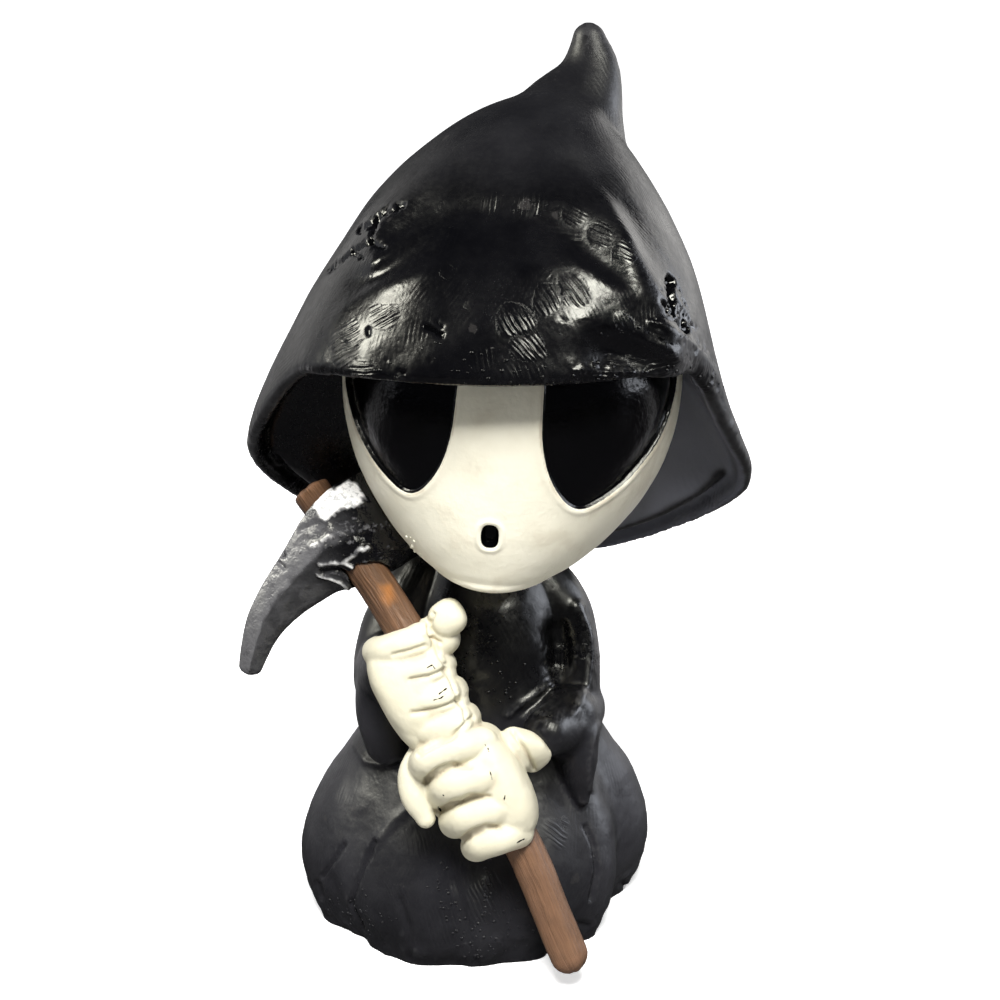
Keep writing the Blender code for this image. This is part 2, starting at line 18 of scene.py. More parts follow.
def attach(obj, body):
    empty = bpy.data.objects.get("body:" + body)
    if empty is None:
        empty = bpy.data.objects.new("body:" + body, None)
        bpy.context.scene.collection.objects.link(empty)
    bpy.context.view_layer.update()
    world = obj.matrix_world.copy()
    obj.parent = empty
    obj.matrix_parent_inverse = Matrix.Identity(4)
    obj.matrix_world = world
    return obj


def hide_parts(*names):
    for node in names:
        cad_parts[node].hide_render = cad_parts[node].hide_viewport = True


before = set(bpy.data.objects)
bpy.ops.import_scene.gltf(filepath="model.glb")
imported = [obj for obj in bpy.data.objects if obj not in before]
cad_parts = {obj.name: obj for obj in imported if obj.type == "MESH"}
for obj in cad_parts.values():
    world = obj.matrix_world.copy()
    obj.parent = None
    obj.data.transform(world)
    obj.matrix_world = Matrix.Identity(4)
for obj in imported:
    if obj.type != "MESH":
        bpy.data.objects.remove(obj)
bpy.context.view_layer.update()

MM = 0.001

# %% [markdown]
# ## Where the camera stands
# The camera comes first, because many marks on the real figurine are easiest to place where the
# photograph shows them. It looks down by 20 degrees from about 0.6 m. The two helpers below turn
# a point of the object into a point of the picture, and a point of the picture into a ray.

# %% The camera and its two helpers
CAMERA_AT = np.array((8.0, -563.8, 327.3))
CAMERA_AIM = np.array((8.0, 0.0, 122.1))
FOCAL_PIXELS = 2153.0
PICTURE_SIDE = 1000.0
MM_PER_PIXEL = 0.27
SENSOR = 36.0


def unit(v):
    return v / np.linalg.norm(v)


LOOKING = unit(CAMERA_AIM - CAMERA_AT)
LOOK_RIGHT = np.array((1.0, 0.0, 0.0))
LOOK_UP = np.cross(LOOK_RIGHT, LOOKING)


def in_picture(points):
    """Where points of the object, in mm, lie in the picture, in pixels."""
    seen = points - CAMERA_AT
    depth = seen @ LOOKING
    return np.stack([PICTURE_SIDE / 2 + FOCAL_PIXELS * (seen @ LOOK_RIGHT) / depth,
                     PICTURE_SIDE / 2 - FOCAL_PIXELS * (seen @ LOOK_UP) / depth], axis=1)


def ray_through(pixel):
    """The direction from the camera through a pixel of the picture."""
    return unit(LOOKING * FOCAL_PIXELS + LOOK_RIGHT * (pixel[0] - PICTURE_SIDE / 2)
                + LOOK_UP * (PICTURE_SIDE / 2 - pixel[1]))


def at_pixel(px, py, y):
    """The point seen at a pixel that lies this far back, in mm."""
    ray = ray_through((px, py))
    return CAMERA_AT + ray * (y - CAMERA_AT[1]) / ray[1]


camera = bpy.data.objects.new("camera", bpy.data.cameras.new("camera"))
bpy.context.scene.collection.objects.link(camera)
camera.data.sensor_width = SENSOR
camera.data.lens = SENSOR * FOCAL_PIXELS / PICTURE_SIDE
camera.data.clip_start, camera.data.clip_end = 0.01, 10
camera.location = Vector(CAMERA_AT * MM)
camera.rotation_mode = "QUATERNION"
camera.rotation_quaternion = Vector(LOOKING).to_track_quat("-Z", "Y")
bpy.context.scene.camera = camera
print("the hood's tip is seen at", in_picture(np.array([[32.0, 26.5, 249.0]])).round()[0])

# %% [markdown]
# ## Curves and skins
# The casting was modelled by hand, so its forms have no straight edges or true circles. Every
# form here is a stack of rings: a smooth curve says how wide each ring is, and a skin joins one
# ring to the next. A box or a cylinder to sculpt from would need far more correction.

# %% Curves and skins


def smooth_through(knots, values, at):
    """Values on a smooth curve that passes through each knot's value."""
    knots = np.asarray(knots, float)
    values = np.asarray(values, float)
    flat = values.ndim == 1
    if flat:
        values = values[:, None]
    slopes = np.gradient(values, knots, axis=0)
    at = np.clip(np.asarray(at, float), knots[0], knots[-1])
    left = np.clip(np.searchsorted(knots, at, side="right") - 1, 0, len(knots) - 2)
    step = (knots[left + 1] - knots[left])[:, None]
    t = (at - knots[left])[:, None] / step
    found = ((2 * t**3 - 3 * t**2 + 1) * values[left] + (t**3 - 2 * t**2 + t) * step * slopes[left]
             + (3 * t**2 - 2 * t**3) * values[left + 1] + (t**3 - t**2) * step * slopes[left + 1])
    return found[:, 0] if flat else found


def bump(x, centre, width):
    return np.exp(-(((x - centre) / width) ** 2))


def ramp(x, start, end):
    """0 before start, 1 after end, and a soft step between them."""
    t = np.clip((x - start) / (end - start), 0, 1)
    return t * t * (3 - 2 * t)


def turned(angle_deg):
    """Ring angles as (sine, cosine): angle 0 faces the viewer and 90 is the viewer's right."""
    a = np.radians(angle_deg)
    return np.sin(a), np.cos(a)


def squared_circle(turn, power):
    """Cosine and sine at these angles: power 1 is a circle, and less than 1 is squarer."""
    return (np.sign(wave(turn)) * np.abs(wave(turn)) ** power for wave in (np.cos, np.sin))


def skin(rings):
    """Points and faces of a closed skin over a stack of rings, with a fan over each end."""
    rings = np.asarray(rings, float)
    rows, count = rings.shape[:2]
    points = np.concatenate([rings.reshape(-1, 3), [rings[0].mean(0), rings[-1].mean(0)]])
    i = np.arange(count)
    j = (i + 1) % count
    quads = np.concatenate([np.stack([r * count + i, r * count + j, (r + 1) * count + j,
                                      (r + 1) * count + i], axis=1) for r in range(rows - 1)])
    low, top = rows * count, rows * count + 1
    last = (rows - 1) * count
    fans = np.concatenate([np.stack([j, i, np.full(count, low)], axis=1),
                           np.stack([last + i, last + j, np.full(count, top)], axis=1)])
    a, b, c, d = (points[quads[:, k]] for k in range(4))
    volume = (a * (np.cross(b, c) + np.cross(c, d))).sum()
    faces = quads.tolist() + fans.tolist()
    return points, [face[::-1] for face in faces] if volume < 0 else faces


DOME_ANGLES = (80, 64, 48, 32, 16)


def directions(path, facing):
    """The directions along a path, to its side and to its front, at each of its points."""
    along = np.gradient(path, axis=0)
    along /= np.linalg.norm(along, axis=1)[:, None]
    side = np.cross(along, np.broadcast_to(np.asarray(facing, float), path.shape))
    side /= np.linalg.norm(side, axis=1)[:, None]
    return along, side, np.cross(side, along)


def tube(path, across, thick, sides=24, facing=(0.0, -1.0, 0.0), power=2.0, domes=(1.0, 1.0)):
    """A closed tube with domed ends. across and thick are its half sizes beside and along facing."""
    path = np.asarray(path, float)
    across, thick = (np.broadcast_to(np.asarray(half, float), (len(path),))
                     for half in (across, thick))
    along, side, front = directions(path, facing)
    wide, deep = squared_circle(np.linspace(0, 2 * math.pi, sides, endpoint=False), 2 / power)

    def ring(k, shrink, shift):
        return (path[k] + along[k] * shift + shrink * (np.outer(wide, side[k]) * across[k]
                                                       + np.outer(deep, front[k]) * thick[k]))

    caps = [math.sin(math.radians(a)) for a in DOME_ANGLES]
    first, last = domes[0] * min(across[0], thick[0]), domes[1] * min(across[-1], thick[-1])
    rings = [ring(0, math.sqrt(1 - c * c), -first * c) for c in caps]
    rings += [ring(k, 1.0, 0.0) for k in range(len(path))]
    rings += [ring(-1, math.sqrt(1 - c * c), last * c) for c in caps[::-1]]
    return skin(rings)


def routed(points, count):
    """count points spread evenly along a smooth curve through the given points."""
    points = np.asarray(points, float)
    reach = np.concatenate([[0], np.cumsum(np.linalg.norm(np.diff(points, axis=0), axis=1))])
    fine = smooth_through(reach, points, np.linspace(0, reach[-1], 40 * count))
    length = np.concatenate([[0], np.cumsum(np.linalg.norm(np.diff(fine, axis=0), axis=1))])
    return np.stack([np.interp(np.linspace(0, length[-1], count), length, fine[:, k])
                     for k in range(3)], axis=1)


def cloth_tube(points, across, thick, facing=(0, -1, 0), power=2.0):
    """A tube whose half sizes change smoothly from each given value to the next."""
    share = np.linspace(0, 1, 12 * len(points))
    knots = np.linspace(0, 1, len(across))
    return tube(routed(points, len(share)), smooth_through(knots, across, share),
                smooth_through(knots, thick, share), sides=48, facing=facing, power=power)


print("a test tube has", len(tube([(0, 0, 0), (0, 0, 1)], 1, 1)[1]), "faces")

# %% [markdown]
# ## From points to a piece, and forms fused into one
# Clay forms run into one another with a soft crease. To get that, the overlapping forms are
# joined, remeshed into one even skin of small squares, and smoothed a little. The even skin also
# gives the tool marks enough points everywhere. Boolean unions would leave hard seams.

# %% Meshes from points, and the fusing of forms


def mesh_from(points, faces, name):
    """A smooth-shaded mesh, from points in mm."""
    made = bpy.data.meshes.new(name)
    made.from_pydata((np.asarray(points) * MM).tolist(), [], faces)
    made.shade_smooth()
    return made


def together(*skins):
    """Several skins as one list of points and one of faces."""
    points, faces, start = [], [], 0
    for p, f in skins:
        points.append(p)
        faces += [[k + start for k in face] for face in f]
        start += len(p)
    return np.concatenate(points), faces


def points_of(mesh):
    found = np.empty(len(mesh.vertices) * 3)
    mesh.vertices.foreach_get("co", found)
    return found.reshape(-1, 3) / MM


def normals_of(mesh):
    found = np.empty(len(mesh.vertices) * 3)
    mesh.vertex_normals.foreach_get("vector", found)
    return found.reshape(-1, 3)


def edges_of(mesh):
    found = np.empty(len(mesh.edges) * 2, np.int32)
    mesh.edges.foreach_get("vertices", found)
    return found.reshape(-1, 2)


def move_points(mesh, points):
    mesh.vertices.foreach_set("co", (points * MM).ravel())
    mesh.update()


def settled(values, edges, rounds):
    """Values averaged with their neighbours' along the mesh's edges, some rounds over."""
    values = np.asarray(values, float)
    flat = values.ndim == 1
    values = values[:, None] if flat else values
    count = np.maximum(np.bincount(edges.ravel(), minlength=len(values)), 1)[:, None]
    for _ in range(rounds):
        near = np.stack([np.bincount(edges[:, 0], values[edges[:, 1], k], len(values))
                         + np.bincount(edges[:, 1], values[edges[:, 0], k], len(values))
                         for k in range(values.shape[1])], axis=1) / count
        values = values + 0.5 * (near - values)
    return values[:, 0] if flat else values


def placed(name, data):
    """An object at the origin, in the scene, that carries a mesh or a light."""
    made = bpy.data.objects.new(name, data)
    bpy.context.scene.collection.objects.link(made)
    return made


def evaluated(item):
    """The mesh of an object after its modifiers. The object itself goes."""
    made = bpy.data.meshes.new_from_object(item.evaluated_get(bpy.context.evaluated_depsgraph_get()))
    bpy.data.objects.remove(item)
    return made


def fused(skins, square, rounds, name):
    """One even skin over all the forms, made of squares of the given side."""
    clay = placed(name + "_clay", mesh_from(*together(*skins), name + "_clay"))
    fuse = clay.modifiers.new("Fuse the forms", "REMESH")
    fuse.mode = "VOXEL"
    fuse.voxel_size = square * MM
    made = evaluated(clay)
    made.name = name
    move_points(made, settled(points_of(made), edges_of(made), rounds))
    made.shade_smooth()
    print(name, "has", len(made.polygons), "squares")
    return made


def finer_where(mesh, wanted):
    """The mesh with the faces for which wanted(middles) holds cut into quarters, and smoothed."""
    work = bmesh.new()
    work.from_mesh(mesh)
    middles = np.array([f.calc_center_median() for f in work.faces]) / MM
    chosen = np.flatnonzero(wanted(middles))
    work.faces.ensure_lookup_table()
    edges = {e for k in chosen for e in work.faces[k].edges}
    bmesh.ops.subdivide_edges(work, edges=list(edges), cuts=1, use_grid_fill=True)
    work.to_mesh(mesh)
    work.free()
    move_points(mesh, settled(points_of(mesh), edges_of(mesh), 1))
    mesh.shade_smooth()
    return mesh


def keep(mesh, name, values):
    """A value, or a vector, kept at each point of the mesh for its material to read."""
    values = np.asarray(values, np.float32)
    kind, field = ("FLOAT", "value") if values.ndim == 1 else ("FLOAT_VECTOR", "vector")
    layer = mesh.attributes.new(name, kind, "POINT")
    layer.data.foreach_set(field, values.ravel())


# %% [markdown]
# ## Lumps and tool marks
# Hand-worked clay is never even. Smooth random heights, worked out from a fixed table of numbers,
# give the same lumps on every run. Marks that the photograph shows, such as a crack or a gouge,
# are lines in the picture: each point of a mesh finds how far it lies from the line, and only
# points that face the camera are pressed in or pulled out.

# %% Lumps and marks


HASH_FACTORS, HASH_SEED_FACTOR, HASH_MIX = (73856093, 19349663, 83492791), 40503, 1274126177


def hashed(cells, seed):
    """A fixed random number from 0 to 1 for each cell of a grid in space."""
    a, b, c = (cells[:, k] * factor for k, factor in enumerate(HASH_FACTORS))
    h = a ^ b ^ c ^ (seed * HASH_SEED_FACTOR)
    h = ((h ^ (h >> 13)) * HASH_MIX) & 0xFFFFFFFF
    return ((h ^ (h >> 15)) & 0xFFFF) / 65535.0


def lumps(points, size, seed=0):
    """Smooth random heights from -1 to 1, with hills about size apart, at these points."""
    grid = points / size
    low = np.floor(grid).astype(np.int64)
    f = grid - low
    f = f * f * (3 - 2 * f)
    total = np.zeros(len(points))
    for corner in range(8):
        bits = np.array(((corner >> 2) & 1, (corner >> 1) & 1, corner & 1))
        share = np.prod(np.where(bits, f, 1 - f), axis=1)
        total += share * hashed(low + bits, seed)
    return 2 * total - 1


def lumpy(points, layers):
    """Lumps of several sizes laid over one another: each layer is (height, size, seed), in mm."""
    return sum(height * lumps(points, size, seed) for height, size, seed in layers)


def to_line(pixels, line):
    """How far each pixel lies from a line of pixels."""
    line = np.asarray(line, float)
    best = np.full(len(pixels), 1e9)
    for a, b in zip(line, line[1:]):
        t = np.clip((pixels - a) @ (b - a) / max((b - a) @ (b - a), 1e-9), 0, 1)
        best = np.minimum(best, np.linalg.norm(pixels - a - t[:, None] * (b - a), axis=1))
    return best


def inside(pixels, outline):
    """Signed distance in pixels to a closed outline, positive inside it."""
    outline = np.asarray(outline, float)
    x, y = pixels[:, 0], pixels[:, 1]
    within = np.zeros(len(pixels), bool)
    for (ax, ay), (bx, by) in zip(outline, np.roll(outline, -1, axis=0)):
        if ay != by:
            crosses = (ay > y) != (by > y)
            within ^= crosses & (x < (bx - ax) * (y - ay) / (by - ay) + ax)
    distance = to_line(pixels, np.concatenate([outline, outline[:1]]))
    return np.where(within, distance, -distance)


TURNED_AWAY = 0.14


def facing_camera(points, normals):
    """1 where a surface is seen from the camera, and 0 where it turns away."""
    to_camera = CAMERA_AT - points
    to_camera /= np.linalg.norm(to_camera, axis=1)[:, None]
    return ramp(np.einsum("ij,ij->i", normals, to_camera), 0.0, TURNED_AWAY)


def marked(points, normals, lines, wobble=0.35):
    """The height of all line marks: each is (line of pixels, half width in pixels, height in mm)."""
    pixels = in_picture(points)
    ragged = 1 + wobble * (lumps(points, 2.2, 91) + 0.8 * lumps(points, 1.1, 92))
    total = np.zeros(len(points))
    for line, width, height in lines:
        total += height * np.exp(-(to_line(pixels, line) / (width * ragged)) ** 2)
    return total * facing_camera(points, normals)


def creases(mesh, rounds, full):
    """-1 on sharp outer edges, 1 in deep creases, near 0 where the surface is even."""
    points, edges = points_of(mesh), edges_of(mesh)
    hollow = np.einsum("ij,ij->i", settled(points, edges, rounds) - points, normals_of(mesh))
    return np.clip(settled(hollow, edges, 2) / full, -1, 1)


# %% [markdown]
# ## Rasp and brush strokes
# The black paint lies over groups of parallel strokes: a rasp on the clay, then a stiff brush. A
# stroke has a direction, so every point of the mesh keeps where it lies in its nearest group:
# how far across the strokes, how far along them, and the group's own number. The material makes
# the fine ridges from that. Groups on the front are placed from the photograph, the rest at
# random from a fixed seed.

# %% Groups of strokes


def surface_of(mesh):
    """A search tree over a mesh, in mm."""
    faces = [tuple(p.vertices) for p in mesh.polygons]
    return BVHTree.FromPolygons([tuple(p) for p in points_of(mesh)], faces)


SCATTERED_REACH, SCATTERED_STRENGTH, FRONT_STRENGTH = (12.0, 22.0), (0.1, 0.4), 0.14
FADING, MEETING, GROUP_SPACING = (-1.35, -0.75), (0.0, 0.45), 7.0


def stroke_groups(mesh, shown, scattered, seed):
    """Groups as rows of place, across, along, reach and strength, from pixels and at random."""
    tree = surface_of(mesh)
    groups = []

    def add(place, normal, along, reach, strength):
        along = unit(along - normal * (along @ normal))
        groups.append(np.concatenate([place, np.cross(along, normal), along, (reach, strength)]))

    for px, py, reach, angle, strength in shown:
        ray = ray_through((px, py))
        place, normal, _, depth = tree.ray_cast(Vector(CAMERA_AT), Vector(ray))
        if place is None:
            continue
        s, c = math.sin(math.radians(angle)), math.cos(math.radians(angle))
        add(np.array(place), np.array(normal), LOOK_RIGHT * c - LOOK_UP * s,
            reach * depth / FOCAL_PIXELS, strength)
    points, normals = points_of(mesh), normals_of(mesh)
    chance = np.random.default_rng(seed)
    for k in chance.integers(0, len(points), scattered):
        if facing_camera(points[k:k + 1], normals[k:k + 1])[0] > 0.3:
            strength = FRONT_STRENGTH
        else:
            strength = chance.uniform(*SCATTERED_STRENGTH)
        down = np.array((chance.normal(0, 0.5), chance.normal(0, 0.5), -1.0))
        add(points[k], normals[k], down, chance.uniform(*SCATTERED_REACH), strength)
    return np.array(groups)


def keep_strokes(mesh, groups):
    """Keeps each point's place in its nearest group, and how strong the strokes are there."""
    points = points_of(mesh)
    reaches, strengths = groups[:, 9], groups[:, 10]
    weakness = 0.5 * (1 - np.minimum(strengths, 1))
    best = np.full(len(points), 1e9)
    second = best.copy()
    near = np.zeros(len(points), int)
    for k, group in enumerate(groups):
        away = np.linalg.norm(points - group[:3], axis=1) / reaches[k]
        away += 0.22 * lumps(points, 5.0, 17 + k % 5) + weakness[k]
        closer = away < best
        second = np.where(closer, best, np.minimum(second, away))
        best[closer], near[closer] = away[closer], k
    g = groups[near]
    offset = points - g[:, :3]
    across = np.einsum("ij,ij->i", offset, g[:, 3:6])
    along = np.einsum("ij,ij->i", offset, g[:, 6:9])
    keep(mesh, "stroke", np.stack([across, along, near * GROUP_SPACING], axis=1))
    fading = ramp(weakness[near] - best, *FADING) * ramp(second - best, *MEETING)
    keep(mesh, "stroke_depth", strengths[near] * fading)
    print(mesh.name, "has", len(groups), "groups of strokes")


# %% [markdown]
# ## Effects that several paints share
# Four effects come back in more than one paint: the ridges that a stroke leaves, soft mottling,
# small chips, and the painted shade in creases while edges are rubbed bright. Each is a node
# group with named inputs, so each paint only sets its own numbers.

# %% Node helpers


def new_group(name, inputs, outputs):
    """An empty node group with named sockets, and its two end nodes."""
    tree = bpy.data.node_groups.new(name, "ShaderNodeTree")
    for label, kind, value in inputs:
        socket = tree.interface.new_socket(label, in_out="INPUT", socket_type="NodeSocket" + kind)
        if value is not None:
            socket.default_value = value
    for label, kind in outputs:
        tree.interface.new_socket(label, in_out="OUTPUT", socket_type="NodeSocket" + kind)
    return tree, tree.nodes.new("NodeGroupInput"), tree.nodes.new("NodeGroupOutput")


def filled(tree, made, sockets):
    """Fills a node's sockets, by name or number, with numbers, colours or other nodes' outputs."""
    for place, value in sockets.items():
        socket = made.inputs[place]
        if isinstance(value, bpy.types.NodeSocket):
            tree.links.new(value, socket)
        else:
            socket.default_value = (*value, 1.0) if socket.type == "RGBA" else value
    return made


def node(tree, kind, settings=None, **sockets):
    """Adds a node. A socket is given by its name, or by its number as i0, i1 and so on."""
    made = tree.nodes.new(kind)
    for key, value in (settings or {}).items():
        setattr(made, key, value)
    places = [int(key[1:]) if key[1:].isdigit() else key.replace("_", " ") for key in sockets]
    return filled(tree, made, dict(zip(places, sockets.values())))


def sums(tree, operation, first, second):
    """The output of a math node."""
    return node(tree, "ShaderNodeMath", {"operation": operation}, i0=first, i1=second).outputs[0]


def times(tree, first, second):
    return sums(tree, "MULTIPLY", first, second)


def plus(tree, first, second):
    return sums(tree, "ADD", first, second)


def minus(tree, first, second):
    return sums(tree, "SUBTRACT", first, second)


def spread(tree, value, low, high, start=0.0, end=1.0, curve="SMOOTHSTEP"):
    """A value mapped from low..high to start..end, with soft ends."""
    return node(tree, "ShaderNodeMapRange", {"interpolation_type": curve}, Value=value,
                From_Min=low, From_Max=high, To_Min=start, To_Max=end).outputs[0]


def blended(tree, mask, first, second):
    """A colour that is first where the mask is 0 and second where it is 1."""
    return node(tree, "ShaderNodeMix", {"data_type": "RGBA"}, i0=mask, i6=first,
                i7=second).outputs[2]


# %% The four shared effects


def stroke_ridges():
    """Ridges that run side by side along each group of strokes, wavering and broken."""
    tree, given, out = new_group(
        "stroke_ridges", (("Stroke", "Vector", None), ("Pitch", "Float", 1.2),
                          ("Length", "Float", 12.0), ("Evenness", "Float", 0.5)),
        (("Height", "Float"),))
    parts = node(tree, "ShaderNodeSeparateXYZ", Vector=given.outputs["Stroke"])
    waver = node(tree, "ShaderNodeTexNoise", Vector=given.outputs["Stroke"], Scale=0.14, Detail=1.0)
    rows = sums(tree, "DIVIDE", parts.outputs[0], given.outputs["Pitch"])
    rows = plus(tree, rows, times(tree, waver.outputs["Fac"], 1.1))
    along = sums(tree, "DIVIDE", parts.outputs[1], given.outputs["Length"])
    place = node(tree, "ShaderNodeCombineXYZ", X=rows, Y=along, Z=parts.outputs[2])
    uneven = node(tree, "ShaderNodeTexNoise", Vector=place.outputs[0], Scale=1.7, Detail=2.0,
                  Roughness=0.5)
    wave = node(tree, "ShaderNodeMath", {"operation": "SINE"},
                i0=times(tree, rows, 2 * math.pi)).outputs[0]
    wave = spread(tree, wave, -1.0, 1.0)
    rough = spread(tree, uneven.outputs["Fac"], 0.33, 0.67)
    height = node(tree, "ShaderNodeMix", {"data_type": "FLOAT"}, i0=given.outputs["Evenness"],
                  i2=rough, i3=wave)
    filled(tree, out, {"Height": height.outputs[0]})
    return tree


def mottling():
    """Soft patches, as brushed paint dries unevenly."""
    tree, given, out = new_group(
        "mottling", (("Place", "Vector", None), ("Patch", "Float", 8.0), ("Detail", "Float", 3.0)),
        (("Value", "Float"),))
    scale = sums(tree, "DIVIDE", 1000.0, given.outputs["Patch"])
    cloud = node(tree, "ShaderNodeTexNoise", Vector=given.outputs["Place"], Scale=scale,
                 Detail=given.outputs["Detail"], Roughness=0.55)
    tree.links.new(spread(tree, cloud.outputs["Fac"], 0.3, 0.7), out.inputs["Value"])
    return tree


def small_chips():
    """Sparse spots with ragged outlines, of a given size and share of the surface."""
    tree, given, out = new_group(
        "small_chips", (("Place", "Vector", None), ("Spacing", "Float", 6.0),
                        ("Share", "Float", 0.2)), (("Mask", "Float"),))
    scale = sums(tree, "DIVIDE", 1000.0, given.outputs["Spacing"])
    ragged = node(tree, "ShaderNodeTexNoise", Vector=given.outputs["Place"],
                  Scale=times(tree, scale, 3.0), Detail=3.0)
    cells = node(tree, "ShaderNodeTexVoronoi", Vector=given.outputs["Place"], Scale=scale)
    lot = node(tree, "ShaderNodeSeparateColor", Color=cells.outputs["Color"])
    chosen = sums(tree, "LESS_THAN", lot.outputs[0], given.outputs["Share"])
    size = times(tree, lot.outputs[1], 0.2)
    near = plus(tree, cells.outputs["Distance"],
                times(tree, minus(tree, ragged.outputs["Fac"], 0.5), 0.5))
    spot = spread(tree, minus(tree, near, size), 0.05, 0.0)
    tree.links.new(times(tree, spot, chosen), out.inputs["Mask"])
    return tree


def edges_and_creases():
    """Masks of rubbed outer edges and of creases that take painted shade, broken up by mottling."""
    tree, given, out = new_group(
        "edges_and_creases", (("Crease", "Float", 0.0), ("Mottle", "Float", 0.5),
                              ("Reach", "Float", 0.5)), (("Edge", "Float"), ("Groove", "Float")))
    broken = times(tree, minus(tree, given.outputs["Mottle"], 0.5), 0.7)
    for label, sign in (("Edge", -1.0), ("Groove", 1.0)):
        level = plus(tree, times(tree, given.outputs["Crease"], sign), broken)
        far = plus(tree, given.outputs["Reach"], 0.45)
        tree.links.new(spread(tree, level, given.outputs["Reach"], far), out.inputs[label])
    return tree


STROKES, MOTTLING, CHIPS, EDGES = stroke_ridges(), mottling(), small_chips(), edges_and_creases()
print("shared effects:", [g.name for g in bpy.data.node_groups])


# %% [markdown]
# ## The paints
# Every paint is one Principled shader. What changes over the surface goes through the groups
# above, and what is the same everywhere is set on the shader itself.

# %% Paint helpers


def new_paint(name, **settings):
    """A material, its node tree and its shader, with the shader's fixed values set."""
    made = bpy.data.materials.new(name)
    made.use_nodes = True
    tree = made.node_tree
    shader = tree.nodes["Principled BSDF"]
    for label, value in settings.items():
        shader.inputs[label.replace("_", " ")].default_value = value
    return made, tree, shader


def shared(tree, group, **sockets):
    return node(tree, "ShaderNodeGroup", {"node_tree": group}, **sockets).outputs


def kept(tree, name, output="Fac"):
    """What the mesh keeps under this name, as a value or as a Vector."""
    return node(tree, "ShaderNodeAttribute", {"attribute_name": name}).outputs[output]


def object_place(tree):
    return node(tree, "ShaderNodeTexCoord").outputs["Object"]


def mottled(tree, place, patch, detail):
    """Soft patches, with their size in mm."""
    return shared(tree, MOTTLING, Place=place, Patch=patch, Detail=detail)["Value"]


def rub_and_shade_masks(tree, mottle, reach):
    """The rubbed edges of the piece, and its creases, which take painted shade."""
    return shared(tree, EDGES, Crease=kept(tree, "crease"), Mottle=mottle, Reach=reach)


def ridged(tree, pitch, length, evenness):
    """The ridges of the piece's strokes, with their pitch and length in mm."""
    return shared(tree, STROKES, Stroke=kept(tree, "stroke", "Vector"), Pitch=pitch, Length=length,
                  Evenness=evenness)["Height"]


def applied(tree, shader, colour, rough, heights):
    """Colour, roughness, and bumps one after another: each is (height, depth in metres)."""
    last = None
    for height, depth in heights:
        made = node(tree, "ShaderNodeBump", Height=height, Strength=1.0, Distance=depth)
        if last is not None:
            tree.links.new(last, made.inputs["Normal"])
        last = made.outputs["Normal"]
    filled(tree, shader, {"Base Color": colour, "Roughness": rough, "Normal": last})


# %% [markdown]
# ### Black brushed paint
# Household gloss over rasped clay: near black, glossy on the worked front of the hood and duller
# on the smooth sides. Inside the hood's far side it is dull, and a pale blue-grey there is painted
# light. The strokes are fine ridges in the paint itself, so they are bump, and the gloss breaks up
# on them into short bright dashes. Gouges are darkened as painted shade. The robe has less gloss,
# and its copy of the paint has a paler satin tint, as painted light: one function makes both.

# %% Black paint
GLOSS_TINTS = ((0.0008, 0.0008, 0.0012), (0.0026, 0.0026, 0.0032))
SATIN_TINTS = ((0.009, 0.009, 0.0108), (0.0145, 0.0145, 0.017))
RUBBED_BLACK, SCUFFED_BLACK = (0.05, 0.05, 0.052), (0.045, 0.042, 0.04)
PAINTED_LIGHT_INSIDE, BLACK_PAINTED_SHADE = (0.13, 0.135, 0.165), (0.0005, 0.0005, 0.0006)
SATIN_ROUGHNESS, GLOSS_ROUGHNESS = 0.44, 0.16
STROKE_BUMP, GRAIN_BUMP, PATCH_BUMP = 0.00024, 0.00002, 0.00012


def black_paint(name, painted_light_tone):
    paint, tree, shader = new_paint(name, Specular_IOR_Level=0.8)
    place = object_place(tree)
    patches, grains = mottled(tree, place, 16.0, 4.0), mottled(tree, place, 1.5, 2.0)
    rubbed_and_shaded = rub_and_shade_masks(tree, grains, 0.45)
    scuffs = shared(tree, CHIPS, Place=place, Spacing=7.0, Share=0.18)["Mask"]
    gloss = kept(tree, "gloss")
    satin = blended(tree, patches, *([value * painted_light_tone for value in tint] for tint in SATIN_TINTS))
    deep = blended(tree, patches, *GLOSS_TINTS)
    colour = blended(tree, spread(tree, gloss, 0.1, 0.8), satin, deep)
    colour = blended(tree, times(tree, rubbed_and_shaded["Edge"], 0.35), colour, RUBBED_BLACK)
    colour = blended(tree, times(tree, scuffs, 0.3), colour, SCUFFED_BLACK)
    # Painted light: a pale blue-grey inside the hood's right side, where light falls. The paint is also
    # dull there.
    colour = blended(tree, spread(tree, gloss, 0.0, -1.0), colour, PAINTED_LIGHT_INSIDE)
    # Painted shade: gouges and deep creases are darkened to near black.
    colour = blended(tree, rubbed_and_shaded["Groove"], colour, BLACK_PAINTED_SHADE)
    rough = spread(tree, gloss, 0.0, 1.0, SATIN_ROUGHNESS, GLOSS_ROUGHNESS, "LINEAR")
    rough = plus(tree, rough, times(tree, patches, 0.1))
    rough = plus(tree, rough, times(tree, grains, 0.06))
    rough = times(tree, rough, minus(tree, 1.0, times(tree, rubbed_and_shaded["Groove"], 0.7)))
    strokes = times(tree, ridged(tree, 1.25, 18.0, 0.5), kept(tree, "stroke_depth"))
    applied(tree, shader, colour, rough,
            ((strokes, STROKE_BUMP), (grains, GRAIN_BUMP), (patches, PATCH_BUMP)))
    return paint


# Painted light and shade: the hood's copy has a darker satin tint and the robe's a much paler one.
BLACK, ROBE_BLACK_LIT = black_paint("brushed_black", 0.7), black_paint("brushed_black_robe_lit", 2.5)

